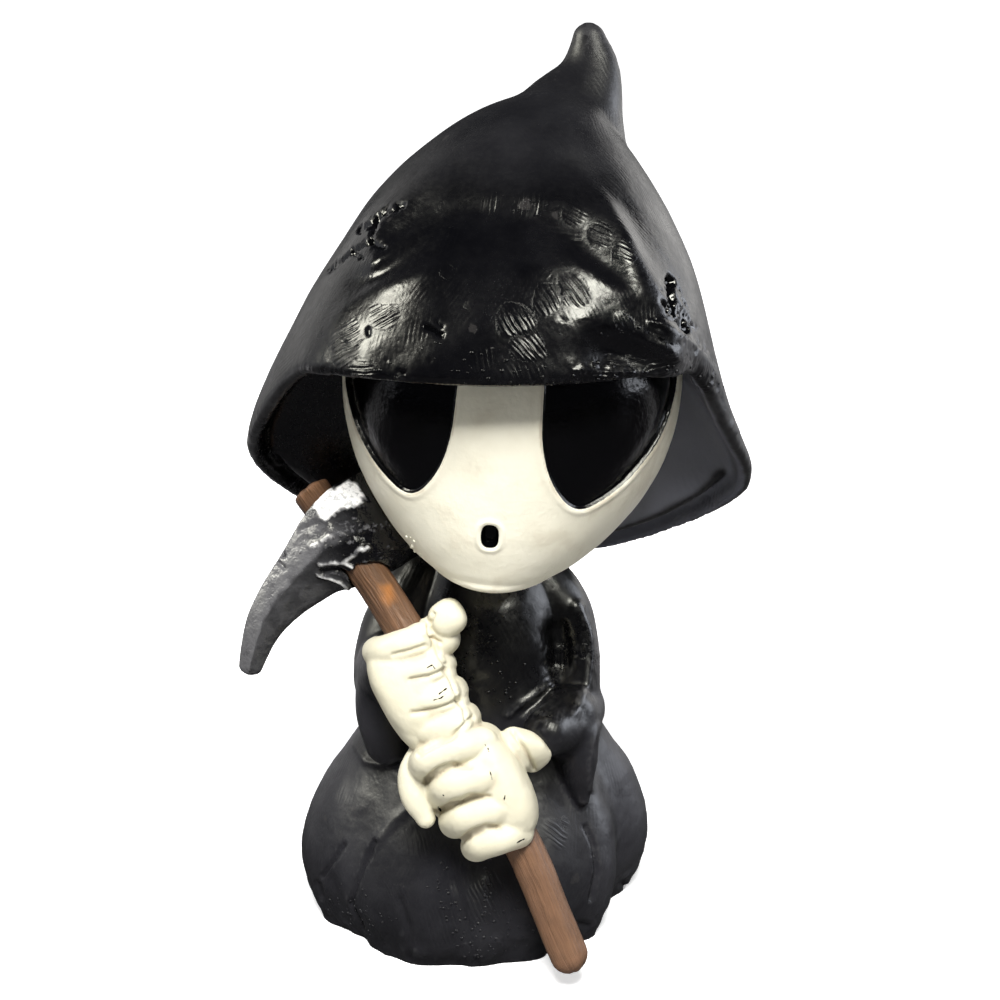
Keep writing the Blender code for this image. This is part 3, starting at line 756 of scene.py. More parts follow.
# %% [markdown]
# ### Bone paint, with its glossy eyes and mouth
# The mask and the fists are a warm bone white, with painted shade in the creases; the fists have
# a darker copy of the paint, as painted shade. The eyes and the mouth are the same surface in gloss
# black, so the mesh keeps how far each point lies from their outlines, and the paint changes exactly
# where that distance is zero. The small black chips on the fists are made in the same way.

# %% Bone paint
BONE_TINTS, BONE_PAINTED_SHADE = ((0.88, 0.85, 0.70), (0.83, 0.795, 0.64)), (0.5, 0.42, 0.3)
INK, INK_EDGE = (0.001, 0.001, 0.0014), 0.07


def bone_paint(name, painted_light_tone=(1.0, 1.0, 1.0)):
    paint, tree, shader = new_paint(name, Specular_IOR_Level=0.5)
    place = object_place(tree)
    patches, grains = mottled(tree, place, 11.0, 3.0), mottled(tree, place, 1.3, 2.0)
    tints = ([value * share for value, share in zip(tint, painted_light_tone)] for tint in BONE_TINTS)
    # Painted shade: a warm grey-brown in the creases, such as the finger grooves and round the eyes.
    shaded_creases = times(tree, rub_and_shade_masks(tree, patches, 0.15)["Groove"], 0.5)
    colour = blended(tree, shaded_creases, blended(tree, patches, *tints), BONE_PAINTED_SHADE)
    edge = plus(tree, kept(tree, "black"), times(tree, minus(tree, grains, 0.5), INK_EDGE))
    inked = spread(tree, edge, -INK_EDGE, INK_EDGE)
    colour = blended(tree, inked, colour, INK)
    rough = minus(tree, plus(tree, times(tree, patches, 0.1), 0.4), times(tree, inked, 0.27))
    applied(tree, shader, colour, rough, ((patches, 0.0001), (grains, 0.00003)))
    return paint


# Painted shade: the fists' copy of the bone paint is darker than the mask's.
BONE, BONE_SHADED_HANDS = bone_paint("bone_white"), bone_paint("bone_shaded_for_the_hands", (0.79, 0.78, 0.73))

# %% [markdown]
# ### Stick and blade paints
# The stick is a real whittled twig under a thin brown stain: streaks run along it, its upper end
# is painted darker as painted shade and carries one orange patch, and facets left by the knife
# catch the light. The blade is lumpy gloss black, with silver dragged over its high places and
# along its outer edge with a nearly dry brush. Its mesh keeps where the silver lies, and where a
# painted highlight goes: a near-white patch by its top and glints on its raised lips.

# %% Stick paint
STICK_LOWER = ((0.175, 0.094, 0.054), (0.208, 0.112, 0.062))
STICK_UPPER_SHADED = ((0.074, 0.038, 0.019), (0.1, 0.05, 0.024))
STICK_PATCH, STICK_ORANGE = (0.095, 0.055, 0.036), (0.28, 0.112, 0.03)
STICK_RUBBED = (0.3, 0.16, 0.09)


def stick_stain(name):
    paint, tree, shader = new_paint(name)
    grain, fibres = ridged(tree, 1.4, 40.0, 0.0), ridged(tree, 0.5, 20.0, 0.0)
    patches = mottled(tree, object_place(tree), 9.0, 3.0)
    # Painted shade: the stain is much darker towards the upper end of the stick.
    colour = blended(tree, kept(tree, "height"), blended(tree, grain, *STICK_LOWER),
                     blended(tree, grain, *STICK_UPPER_SHADED))
    colour = blended(tree, times(tree, patches, 0.4), colour, STICK_PATCH)
    colour = blended(tree, kept(tree, "orange"), colour, STICK_ORANGE)
    colour = blended(tree, times(tree, rub_and_shade_masks(tree, fibres, 0.3)["Edge"], 0.4), colour, STICK_RUBBED)
    rough = plus(tree, times(tree, grain, 0.16), 0.38)
    applied(tree, shader, colour, rough, ((grain, 0.00012), (fibres, 0.00006), (patches, 0.00015)))
    return paint


# %% Blade paint
BLADE_BLACK, BLADE_SILVER = (0.003, 0.003, 0.0036), (0.27, 0.27, 0.28)
BLADE_PAINTED_HIGHLIGHT = (0.95, 0.95, 0.93)


def blade_paint(name):
    paint, tree, shader = new_paint(name, Specular_IOR_Level=0.6)
    place = object_place(tree)
    patches, grains = mottled(tree, place, 5.0, 4.0), mottled(tree, place, 1.1, 3.0)
    brushed = times(tree, kept(tree, "silver"), spread(tree, patches, 0.0, 0.8, 0.55, 1.0))
    silver = sums(tree, "MAXIMUM", brushed, times(tree, rub_and_shade_masks(tree, grains, 0.35)["Edge"], 0.3))
    # Painted highlight: near white on a patch by the blade's top, on its raised lips and on its beads.
    painted_highlight = times(tree, kept(tree, "painted_highlight"), spread(tree, grains, 0.1, 0.5, 0.6, 1.0))
    colour = blended(tree, painted_highlight, blended(tree, silver, BLADE_BLACK, BLADE_SILVER), BLADE_PAINTED_HIGHLIGHT)
    tree.links.new(times(tree, silver, 0.7), shader.inputs["Metallic"])
    rough = spread(tree, silver, 0.0, 1.0, 0.12, 0.4, "LINEAR")
    rough = plus(tree, rough, times(tree, grains, 0.08))
    applied(tree, shader, colour, rough, ((patches, 0.00025), (grains, 0.00004)))
    return paint


STICK, BLADE = stick_stain("brown_stain"), blade_paint("gloss_and_silver")
print("paints:", [m.name for m in bpy.data.materials])

# %% [markdown]
# ## A helper that finishes a piece
# Each finished mesh becomes an object at the origin, rides on the object's one body, and stands
# for the solid whose form it carries.

# %% Finish a piece
PIECES = {}
FIGURE, HANDLE = ("reaper_figure", "figure_paint"), ("scythe_handle", "handle_paint")
BLADE_PART = ("scythe_blade", "blade_paint")


def finished(mesh, paint, node_name, slot):
    """Puts a mesh in the scene as a piece that stands for a solid's node, with its paint. slot is not
    used.
    """
    mesh.materials.clear()
    mesh.materials.append(paint)
    made = placed(mesh.name, mesh)
    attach(made, "root")
    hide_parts(node_name)
    PIECES[mesh.name] = made
    mesh.calc_loop_triangles()
    print(mesh.name, len(mesh.loop_triangles), "triangles")


# %% [markdown]
# ## The hood
# The hood is a wide cowl with a level brow, sagging cheeks and a hem that falls behind, and a
# twist of cloth stands up at its back. Two folds lie over the brow like thrown-back cloth. It is
# lofted in rings of one angle range, first down the inside, over the rim, then up the outside,
# which keeps the wall's thickness true all the way round.

# %% Hood: its curves
HOOD_WALL = 4.2
HOOD_HEIGHTS = (88, 104, 118, 127, 134, 142, 152, 163, 174, 185, 196, 207, 218, 225.6, 231.2, 234)
HOOD_LEFTS = (-46, -53, -58.5, -61, -62, -61.5, -58.3, -53.2, -47.4,
              -41.2, -33.8, -25.8, -14.0, -3.0, 9, 18)
HOOD_RIGHTS = (62, 70, 76.6, 78.4, 77.0, 73.8, 70.0, 66.6, 63.8, 60.8, 56.6, 50.6, 43.2, 37, 31, 22)
HOOD_FRONTS = (62, 63, 64, 64.5, 65, 65.5, 65.5, 65, 63.6, 59.6, 53.6, 46.0, 35.5, 25.5, 13.0, 2)
HOOD_BACKS = (41, 44, 46.5, 48, 48.5, 49.5, 50, 50, 49.5, 48, 46.0, 43.0, 37.5, 29.0, 16.0, 2)
HOOD_LEANS = (0, 0, 0, 0, 0, 0, 0, 0, 0.5, 1.5, 3, 4.5, 6.0, 7.5, 8.5, 9.0)
RIM_ANGLES = (0, 30, 50, 60, 67, 74, 82, 92, 104, 122, 145, 180)
RIM_HEIGHTS = (175.5, 175, 172.6, 169.5, 162.5, 151, 141.5, 131.5, 122.5, 110.5, 99, 92)
RIM_SAG, RIM_SAG_FROM, RIM_SAG_TO = 3.6, 62, 96
HOOD_SQUARENESS = 2.35
INNER_TOP, INNER_TOP_SHARE = 190.0, 0.25
BACK_WALL, BACK_WALL_BLEND = 6.0, 0.15
HORN_ROUTE = ((15, 6, 198), (21, 13.5, 213), (28.0, 21.0, 226), (32.4, 25.5, 238),
              (32.0, 26.5, 245.7))
HORN_WIDTHS, HORN_FLATNESS = (34, 27.0, 18.6, 11.2, 4.8), 0.9
RIM_TURNS = (25, 50, 75, 105, 130, 155)
FOLD_ANGLES = (-72, -62, -54, -46, -38, -29, -18, -6, 6, 18, 28, 37, 45, 53, 61, 70)
FOLD_LINES = (
    ("top of the upper fold",
     (204.4, 204.4, 204.4, 204.9, 211.5, 213.6, 214.6, 215.1, 214.8,
      213.2, 210.8, 207.7, 203.3, 198.4, 191.6, 190),
     (0.6, 0.6, 0.7, -1.3, -1.4, -1.2, 0.1, 1.3, 2.3, 3.0, 3.2, 4.6, 1.1, 0.2, 0.4, 0.5)),
    ("its lower edge",
     (198.3, 198.3, 198.3, 199.1, 205.6, 210.2, 211.2, 211.5, 210.6,
      206.4, 199.7, 194.4, 189.7, 181.8, 181.4, 181.4),
     (0.6, 0.6, 1.1, 2.2, -1.6, -2.0, -2.0, -0.8, 0.0, 0.3, 1.2, 4.6, 4.4, 1.8, 0.6, 0.5)),
    ("the valley below it",
     (192.5, 192.5, 192.5, 195.2, 199.7, 202.3, 203.8, 204.8, 204.6,
      201.5, 196.2, 190.8, 185.9, 179.9, 177.6, 177.6),
     (0.5, 0.3, -0.2, -0.7, -1.1, -0.4, 0.2, 0.8, 1.8, 4.2, 4.6, 3.6, 4.0, 1.6, 0.6, 0.6)),
    ("top of the two lobes",
     (182.9, 182.9, 184, 191.7, 194.9, 197.9, 199.2, 199.8, 200.1,
      199.9, 194.7, 189.3, 184.4, 178.4, 176.1, 176.1),
     (0.5, 0.6, 1.0, 0.9, 1.7, 2.2, 2.1, 2.6, 3.9, 3.9, 3.8, 3.3, 4.4, 1.7, 0.6, 0.6)),
    ("middle of the lobes",
     (176.3, 176.3, 176.3, 180.1, 183.6, 185.8, 188.6, 189.3, 189.6,
      189.3, 187.5, 182.9, 177.9, 174.3, 174.3, 174.3),
     (0.6, 0.7, 1.1, 0.6, 0.1, 0.5, 1.2, 3.4, 3.0, 3.5, 2.2, 3.2, 4.6, 2.1, 0.6, 0.5)),
    ("foot of the lobes",
     (171.9, 171.9, 172.8, 174.4, 177.1, 179.6, 181.4, 182.0, 182.0,
      181.6, 180.4, 178.1, 174.6, 173, 169.7, 169.7),
     (0.6, 0.6, 1.3, 0.3, 0.1, -0.3, 1.5, 2.0, 1.3, 0.9, -1.9, -1.3, 1.3, 0.3, 0.4, 0.5)),
)


def rim_height(angles):
    """The height of the hood's edge: a level brow, steep cheeks, and a hem that falls behind."""
    aside = np.abs(angles)
    behind = np.clip((aside - RIM_SAG_FROM) / (RIM_SAG_TO - RIM_SAG_FROM), 0, 1)
    return smooth_through(RIM_ANGLES, RIM_HEIGHTS, aside) - RIM_SAG * turned(angles)[0] * behind


def hood_folds(angles, z):
    """How far the thrown-back cloth of the hood bulges at these angles and heights."""
    levels = [smooth_through(FOLD_ANGLES, heights, angles) for _, heights, _ in FOLD_LINES]
    lifts = [smooth_through(FOLD_ANGLES, values, angles) for _, _, values in FOLD_LINES]
    levels = [levels[0] + 9, *levels, np.minimum(rim_height(angles), 175.5) - 2]
    lifts = [0 * lifts[0], *lifts, 0.3 * lifts[-1]]
    bulge = lifts[-1]
    for k in range(len(levels) - 1):
        share = np.clip((z - levels[k + 1]) / np.maximum(levels[k] - levels[k + 1], 0.1), 0, 1)
        bulge = bulge + (lifts[k] - lifts[k + 1]) * share
    back = 1.2 * np.sin(np.radians(angles * 5)) * bump(np.abs(angles), 150, 55) * bump(z, 110, 45)
    return bulge * ramp(-np.abs(angles), -95, -72) + back


def hood_point(angles, z, inset):
    """Points on the hood's outer surface, or inset by a thickness, at these angles and heights."""
    level = np.clip(z, HOOD_HEIGHTS[0], HOOD_HEIGHTS[-1])
    left, right, front, back, lean = (smooth_through(HOOD_HEIGHTS, values, level) for values in
                                      (HOOD_LEFTS, HOOD_RIGHTS, HOOD_FRONTS, HOOD_BACKS, HOOD_LEANS))
    sine, cosine = turned(angles)
    lift = hood_folds(angles, z) if inset == 0 else -inset
    power = np.where(cosine > 0, HOOD_SQUARENESS, 2.0)
    reach = (np.abs(sine) ** power + np.abs(cosine) ** power) ** (-1 / power)
    wide = np.maximum((right - left) / 2 + lift, 0.5)
    deep = np.maximum(np.where(cosine > 0, front, back) + lift, 0.5)
    middle = (left + right) / 2
    return np.stack([middle + wide * reach * sine, lean - deep * reach * cosine, z], axis=1)


# %% Hood: its two forms


def cowl_form():
    """The cowl: cloth up from the rim, and a hollow round the face, which is closed behind it."""
    angles = np.linspace(-180, 180, 240, endpoint=False)
    rim = rim_height(angles)
    rings = []
    for share in np.linspace(1, 0, 50):
        z = rim + (INNER_TOP - rim) * share
        ring = hood_point(angles, z, HOOD_WALL)
        middle = ring[:, 0].mean()
        narrow = INNER_TOP_SHARE + (1 - INNER_TOP_SHARE) * (1 - share**3)
        wall = BACK_WALL + max(0.0, 1 - share / BACK_WALL_BLEND) * HOOD_BACKS[0]
        rings.append(np.stack([middle + (ring[:, 0] - middle) * narrow,
                               np.minimum(ring[:, 1] * narrow, wall), ring[:, 2]], axis=1))
    inner, outer = hood_point(angles, rim, HOOD_WALL), hood_point(angles, rim, 0)
    for turn in RIM_TURNS:
        s, c = turned(turn)
        below = np.array((0, 0, 0.5 * HOOD_WALL * s))
        rings.append((inner + outer) / 2 - (outer - inner) / 2 * c - below)
    for share in np.linspace(0, 1, 110):
        rings.append(hood_point(angles, rim + (HOOD_HEIGHTS[-1] - rim) * share, 0))
    return skin(rings)


def horn_form():
    """The cloth tip, which stands up behind the crown and leans to the figure's left."""
    share = np.linspace(0, 1, 50)
    widths = smooth_through(np.linspace(0, 1, len(HORN_WIDTHS)), HORN_WIDTHS, share)
    return tube(routed(HORN_ROUTE, 50), widths, widths * HORN_FLATNESS, sides=90,
                facing=(-0.3, -1, 0))


# %% [markdown]
# ### The marks on the hood
# The photograph shows a ragged gouge at the left end of the upper fold, a torn hole at the right
# end of the lower one, a crease down the right cheek, and pits near the brow. Around them lie the
# groups of rasp strokes.

# %% Hood: its marks and strokes
HOOD_MARKS = (
    (((402, 204), (393, 210), (384, 212), (377, 218), (372, 229), (369, 241), (360, 247), (352, 252),
      (343, 259), (330, 269)), 2.4, -1.1),
    (((377, 219), (366, 225), (359, 232)), 2.2, -1.0),
    (((369, 240), (377, 246), (384, 247)), 2.2, -0.8),
    (((352, 252), (362, 258)), 2.2, -0.7),
    (((672, 280), (673, 300), (679, 316), (687, 328)), 4.2, -2.0),
    (((664, 303), (674, 314)), 3.0, -1.0),
    (((654, 322), (676, 332), (693, 345), (712, 371), (725, 398), (738, 430)), 4.5, 0.8),
    (((650, 332), (672, 343), (688, 357), (703, 382)), 5.0, -0.3),
    (((425, 326), (434, 330), (441, 335)), 2.2, -0.9),
    (((437, 322), (442, 327)), 1.6, -0.6),
    (((368, 330), (368, 334)), 1.5, -0.5),
    (((430, 359), (431, 361)), 1.5, -0.5),
    (((386, 359), (388, 361)), 1.5, -0.5),
    (((341, 341), (344, 342)), 1.5, -0.4),
    (((413, 325), (414, 327)), 1.5, -0.5),
    (((398, 371), (404, 373)), 1.6, -0.5),
    (((560, 318), (565, 321)), 1.4, -0.25),
    (((582, 318), (588, 316), (594, 320)), 1.2, 0.2),
    (((545, 100), (560, 92), (572, 70)), 5.0, -0.15),
    (((575, 370), (620, 371), (665, 375), (705, 384)), 5.0, 0.5),
)
# Each group of strokes: the pixel of its middle, its reach in pixels, its angle and strength.
HOOD_STROKES = (
    (345, 348, 36, 168, 1.0), (385, 318, 26, 165, 0.9), (362, 374, 26, 172, 1.0),
    (420, 350, 24, 60, 0.25), (468, 305, 16, 57, 0.9), (448, 271, 14, 4, 0.3),
    (515, 318, 22, 60, 1.1), (545, 298, 22, 62, 1.1), (575, 296, 24, 55, 1.0),
    (530, 348, 20, 50, 1.1), (606, 300, 18, 48, 0.5), (624, 322, 16, 60, 0.7),
    (572, 216, 18, 28, 0.6), (598, 234, 18, 26, 0.6), (626, 252, 18, 24, 0.5),
    (654, 268, 16, 28, 0.4), (610, 374, 28, 4, 1.0), (665, 374, 26, 6, 1.0),
    (640, 356, 18, 20, 0.6), (400, 250, 34, 98, 0.3), (450, 240, 34, 95, 0.3),
    (500, 240, 34, 90, 0.25), (440, 205, 22, 88, 0.6), (490, 203, 22, 92, 0.6),
    (530, 206, 22, 95, 0.5), (470, 130, 40, 120, 0.3), (560, 140, 40, 70, 0.3),
    (390, 200, 26, 115, 0.3), (480, 360, 26, 84, 0.4), (300, 370, 20, 150, 0.4),
)


def worked_front(middles):
    """The brow and the folds over it, where the tool marks are."""
    seen = in_picture(middles)
    shown = (seen[:, 1] > 185) & (seen[:, 1] < 392) & (middles[:, 1] < -8)
    return shown & (seen[:, 0] > 300) & (seen[:, 0] < 730)


HOOD_SQUARE, HOOD_LIMITS = 1.23, (99, 50.0, 249.6)
HOOD_LUMPS = ((0.15, 9.0, 1), (0.03, 3.2, 2))
SIDE_GLOSS, BROW_GLOSS, SHADE_IN_GOUGES = 0.35, 0.65, 1.6
HOLLOW_MIDDLE, HOLLOW_TOP, LIT_MATTE_FROM = (8.0, 0.0), 188, (10, 45)

hood = finer_where(fused((cowl_form(), horn_form()), HOOD_SQUARE, 4, "hood"), worked_front)
places, outward = points_of(hood), normals_of(hood)
relief = marked(places, outward, HOOD_MARKS, 0.75)
gouged = np.minimum(relief, 0)
relief += lumpy(places, HOOD_LUMPS)
seen = in_picture(places)
worked = facing_camera(places, outward) * ramp(seen[:, 1], 150, 230) * ramp(-seen[:, 1], -400, -385)
relief += 0.02 * lumps(places, 1.9, 3) * worked
move_points(hood, np.minimum(places + outward * relief[:, None], HOOD_LIMITS))
# Painted shade: the gouges count as deep creases, so the paint darkens them.
keep(hood, "crease", np.clip(creases(hood, 8, 0.35), -1, 0.1) - SHADE_IN_GOUGES * gouged)
side_dull = 0.5 * ramp(np.abs(seen[:, 0] - PICTURE_SIDE / 2), 120, 230)
gloss = np.clip(SIDE_GLOSS + BROW_GLOSS * worked - side_dull * worked, 0, 1)
inward = np.einsum("ij,ij->i", outward[:, :2], places[:, :2] - HOLLOW_MIDDLE) < 0
# Painted light: the inside of the hood turns dull and pale towards its right side, where light falls.
lit_matte = 2.0 * ramp(places[:, 0], *LIT_MATTE_FROM)
gloss = np.where(inward & (places[:, 2] < HOLLOW_TOP), 1.0 - lit_matte, gloss)
keep(hood, "gloss", settled(gloss, edges_of(hood), 4))
keep_strokes(hood, stroke_groups(hood, HOOD_STROKES, 120, 5))
finished(hood, BLACK, *FIGURE)

# %% [markdown]
# ## The robe and the sleeves
# The robe flares from the neck to a heavy hem that curls in under itself, with folds that are
# deepest near the ground. Two sleeves bend forward: upper arm, forearm in a wide cuff, and the
# tip of cloth that hangs from each cuff. Lofts overlap and are then fused, as wet clay is. What
# would sink below the floor is pressed level, so the figurine stands flat.

# %% Robe and sleeves: their forms
ROBE_HEIGHTS = (-6, 0, 7, 15, 22, 31, 39, 46, 54, 64, 76, 88, 97, 104, 112)
ROBE_WIDTHS = (44, 45, 48, 50.2, 50, 47.4, 43.6, 38.8, 34, 29.2, 25.4, 22.2, 18.8, 15.4, 13)
ROBE_DEPTHS = (43.5, 45, 46.8, 47, 45.6, 42, 38, 34.4, 31.2, 28.2, 25.6, 23.6, 20.8, 16.5, 14)
ROBE_FOLDS = ((-74, 15, 1.4), (-44, 7, -1.4), (-16, 10, 1.2), (11, 8, -1.4), (38, 9, -1.6),
              (69, 12, -6.6), (101, 12, 1.2), (118, 10, -1.6), (138, 12, 2.0), (160, 9, -1.7),
              (180, 11, 2.0), (-104, 10, -1.6), (-130, 13, 2.0), (-157, 10, -1.6))
ROBE_TOP_OFFSET = (4.5, 1.0)


def robe_form():
    """The robe from just under the ground to inside the neck, its folds deepest near the hem."""
    angles = np.linspace(-180, 180, 260, endpoint=False)
    sine, cosine = turned(angles)
    heights = np.linspace(ROBE_HEIGHTS[0], ROBE_HEIGHTS[-1], 110)
    widths = smooth_through(ROBE_HEIGHTS, ROBE_WIDTHS, heights)
    depths = smooth_through(ROBE_HEIGHTS, ROBE_DEPTHS, heights)
    folds = sum(lift * bump((angles - at + 180) % 360 - 180, 0, wide)
                for at, wide, lift in ROBE_FOLDS)
    scallop = 0.7 * np.sin(np.radians(angles * 9)) + 0.5 * np.sin(np.radians(angles * 16 + 40))
    rings = []
    for z, wide, deep in zip(heights, widths, depths):
        lift = folds * np.clip((78 - z) / 60, 0, 1) + scallop * np.clip((14 - z) / 14, 0, 1)
        rise = np.clip(z / 100, 0, 1)
        rings.append(np.stack([ROBE_TOP_OFFSET[0] * rise + (wide + lift) * sine,
                               ROBE_TOP_OFFSET[1] * rise - (deep + lift) * cosine,
                               np.full_like(sine, z)], axis=1))
    return skin(rings)


def sleeve_forms():
    """Upper arms, forearms in wide cuffs, and the tips that hang from the cuffs."""
    return [
        cloth_tube(((-13, 2, 98), (-19.5, -3, 87), (-22.5, -10, 75), (-22, -16, 66)),
                   (9.5, 10.5, 11.0, 9.5), (10, 11, 11, 8)),
        cloth_tube(((-22, -14, 77), (-20.5, -22, 80), (-18, -28, 84)),
                   (10.5, 10.0, 8.5), (11.5, 10.5, 9.0), facing=(0, -0.3, 1)),
        cloth_tube(((-24.5, -16, 74), (-24.5, -20, 64), (-23.5, -22, 57)),
                   (7.6, 7.6, 6.0), (9.0, 8.0, 5.0)),
        cloth_tube(((17, 2, 101), (25.0, 0, 91), (28.8, -4, 76), (28.6, -9, 63)),
                   (7.6, 8.0, 7.6, 7.6), (9.5, 9.5, 9.5, 10.0)),
        cloth_tube(((29.4, -8, 62), (27.0, -20, 63), (20.5, -32, 66)),
                   (8.6, 8.4, 6.8), (9.0, 8.6, 7.0), facing=(0.2, -0.2, 1)),
        cloth_tube(((26.5, -19, 65), (29.0, -23, 55), (31.2, -27.0, 43)),
                   (10.0, 7.6, 2.2), (8.5, 6.0, 2.2), facing=(-0.8, -0.5, 0)),
    ]


# %% Robe and sleeves: their marks and strokes
ROBE_MARKS = (
    (((344, 845), (333, 861), (321, 877)), 1.8, -1.2),
    (((375, 842), (364, 866), (356, 884), (350, 904), (362, 930)), 2.0, -1.4),
    (((414, 803), (390, 824), (373, 846)), 5.0, 0.5),
    (((586, 827), (594, 846), (597, 872), (591, 899)), 2.0, -1.2),
    (((317, 884), (321, 896)), 3.0, -1.0),
    (((624, 884), (630, 892)), 3.0, -1.0),
    (((580, 924), (588, 926)), 3.0, -1.0),
    (((455, 880), (470, 930), (476, 964)), 3.0, -0.6),
    (((484, 880), (482, 898), (486, 915)), 3.0, 0.5),
    (((497, 940), (503, 948)), 4.0, 0.5),
    (((560, 634), (562, 648), (561, 664)), 12.0, -2.6),
    (((577, 606), (587, 630), (590, 655), (586, 685), (574, 712)), 6.0, 1.2),
    (((549, 684), (536, 693), (522, 703), (508, 715)), 3.0, 0.9),
    (((548, 694), (535, 703), (522, 713)), 4.0, -0.3),
    (((455, 690), (480, 680)), 4.0, -0.4),
    (((590, 790), (588, 770), (592, 745), (598, 725)), 3.0, 0.6),
    (((355, 745), (366, 762), (384, 765), (404, 757)), 3.0, 0.6),
    (((330, 880), (345, 915), (380, 945)), 6.0, -0.5),
    (((400, 900), (410, 935), (408, 960)), 3.0, -0.6),
    (((545, 905), (550, 935), (548, 960)), 3.0, -0.6),
)
ROBE_STROKES = (
    (420, 850, 40, 70, 0.3), (400, 890, 34, 60, 0.4), (455, 870, 34, 80, 0.4),
    (490, 900, 26, 65, 0.8), (500, 945, 22, 40, 0.6), (440, 930, 30, 75, 0.5),
    (565, 824, 13, 15, 0.6), (594, 858, 13, 5, 0.6), (560, 830, 20, 30, 0.6),
    (600, 860, 18, 100, 0.4), (340, 800, 44, 100, 0.15), (325, 850, 34, 95, 0.2),
    (620, 800, 40, 80, 0.12), (560, 660, 16, 92, 0.8), (583, 650, 14, 80, 0.7),
    (500, 640, 34, 60, 0.1), (520, 690, 24, 145, 0.2), (590, 770, 20, 84, 0.15),
    (375, 720, 26, 95, 0.15), (370, 920, 26, 70, 0.4),
)

ROBE_SQUARE = 0.8
ROBE_LUMPS, HEM_LUMPS = ((0.2, 8.0, 11), (0.08, 2.8, 12)), ((0.5, 5.0, 13), (0.3, 2.4, 14))

robe = fused((robe_form(), *sleeve_forms()), ROBE_SQUARE, 5, "robe")
places, outward = points_of(robe), normals_of(robe)
relief = marked(places, outward, ROBE_MARKS, 0.15)
relief += lumpy(places, ROBE_LUMPS) + ramp(-places[:, 2], -16, -3) * lumpy(places, HEM_LUMPS)
moved = places + outward * relief[:, None]
moved[:, 2] = np.maximum(moved[:, 2], 0)
move_points(robe, moved)
keep(robe, "crease", np.clip(creases(robe, 8, 0.3), -1, 0.1))
seen = in_picture(places)
panel = 0.65 * ramp(seen[:, 0], 340, 420) * ramp(-seen[:, 0], -640, -580)
panel += 0.5 * ramp(places[:, 2], 62, 76)
left_side = 0.35 * ramp(-seen[:, 0], -430, -350) * ramp(-places[:, 2], -70, -55)
keep(robe, "gloss", np.clip(0.05 + left_side + 0.65 * panel * facing_camera(places, outward), 0, 1))
keep_strokes(robe, stroke_groups(robe, ROBE_STROKES, 90, 8))
finished(robe, ROBE_BLACK_LIT, *FIGURE)

# %% [markdown]
# ## The mask
# A smooth mask, broad above and running down to a small round chin, with two huge eyes and a
# small open mouth. It belongs to nobody. The grid of points is closest round the eyes
# and the mouth, where a crisp edge matters. Each eye sinks behind a fine rim and then swells
# again, so that it shines like a pool.

# %% Mask: its curves
HEAD_HEIGHTS = (109.0, 110.5, 114, 119, 126, 135, 146, 158, 170, 180, 188, 194)
HEAD_WIDTHS = (4, 11.5, 20.3, 28.0, 35.0, 41.0, 44.8, 46.0, 44.6, 40.0, 31.0, 12.0)
HEAD_FRONTS = (6, 15.5, 24.0, 32.0, 39.5, 45.0, 47.8, 48.4, 46.2, 42.0, 34.0, 16.0)
HEAD_BACKS = (6, 14, 20, 26, 31, 35, 37, 38, 37, 34, 28, 12)
HEAD_CENTRE = (10.8, -2.0, 150.0)
HEAD_SETBACK = (-27, -23.0, -17.0, -11.0, -5.5, -1.5, 0, 0, 0, 0, 0, 0)
HEAD_TURN, HEAD_ROLL = -5.0, 4.0
EYE_OUTLINE = ((14.5, 184), (14.0, 170), (14.5, 157), (18.0, 147), (25.0, 139.5), (33.0, 136.5),
               (42.0, 138.5), (53.0, 144.0), (65.0, 152.5), (76.0, 164), (80.0, 176), (74.0, 186),
               (44.0, 189.5))
EYE_DEPTH, EYE_SWELL = 1.1, 0.8
MOUTH_LEVEL, MOUTH_WIDTH, MOUTH_HEIGHT, MOUTH_DEPTH, MOUTH_SQUARENESS = 129.0, 4.7, 6.8, 2.7, 0.75
OUTSIDE, MASK_LUMPS = -9.0, ((0.12, 9.0, 31), (0.04, 3.0, 32))


def head_point(angles, z, lift=0.0):
    """Points on the head at these angles from its own front, moved out by lift."""
    wide, front, back, shift = (smooth_through(HEAD_HEIGHTS, values, z) for values in
                                (HEAD_WIDTHS, HEAD_FRONTS, HEAD_BACKS, HEAD_SETBACK))
    sine, cosine = turned(angles)
    x = (wide + lift) * sine
    y = shift - (np.where(cosine > 0, front, back) + lift) * cosine
    up = z - HEAD_CENTRE[2]
    s, c = turned(HEAD_TURN)
    x, y = x * c - y * s, x * s + y * c
    s, c = turned(HEAD_ROLL)
    x, up = x * c + up * s, up * c - x * s
    return np.stack([HEAD_CENTRE[0] + x, HEAD_CENTRE[1] + y, HEAD_CENTRE[2] + up], axis=1)


def flat_place(angles, z):
    """Places on the mask rolled out flat, in mm, to measure distances on."""
    radius = smooth_through(HEAD_HEIGHTS, np.maximum(HEAD_WIDTHS, 20), z)
    return np.stack([np.radians(angles) * radius, z], axis=1)


def spaced(knots, steps):
    """Values between knots, with a step of its own between each two of them."""
    runs = [np.arange(a, b, step) for a, b, step in zip(knots, knots[1:], steps)]
    return np.concatenate(runs + [[knots[-1]]])


# %% Mask: its mesh


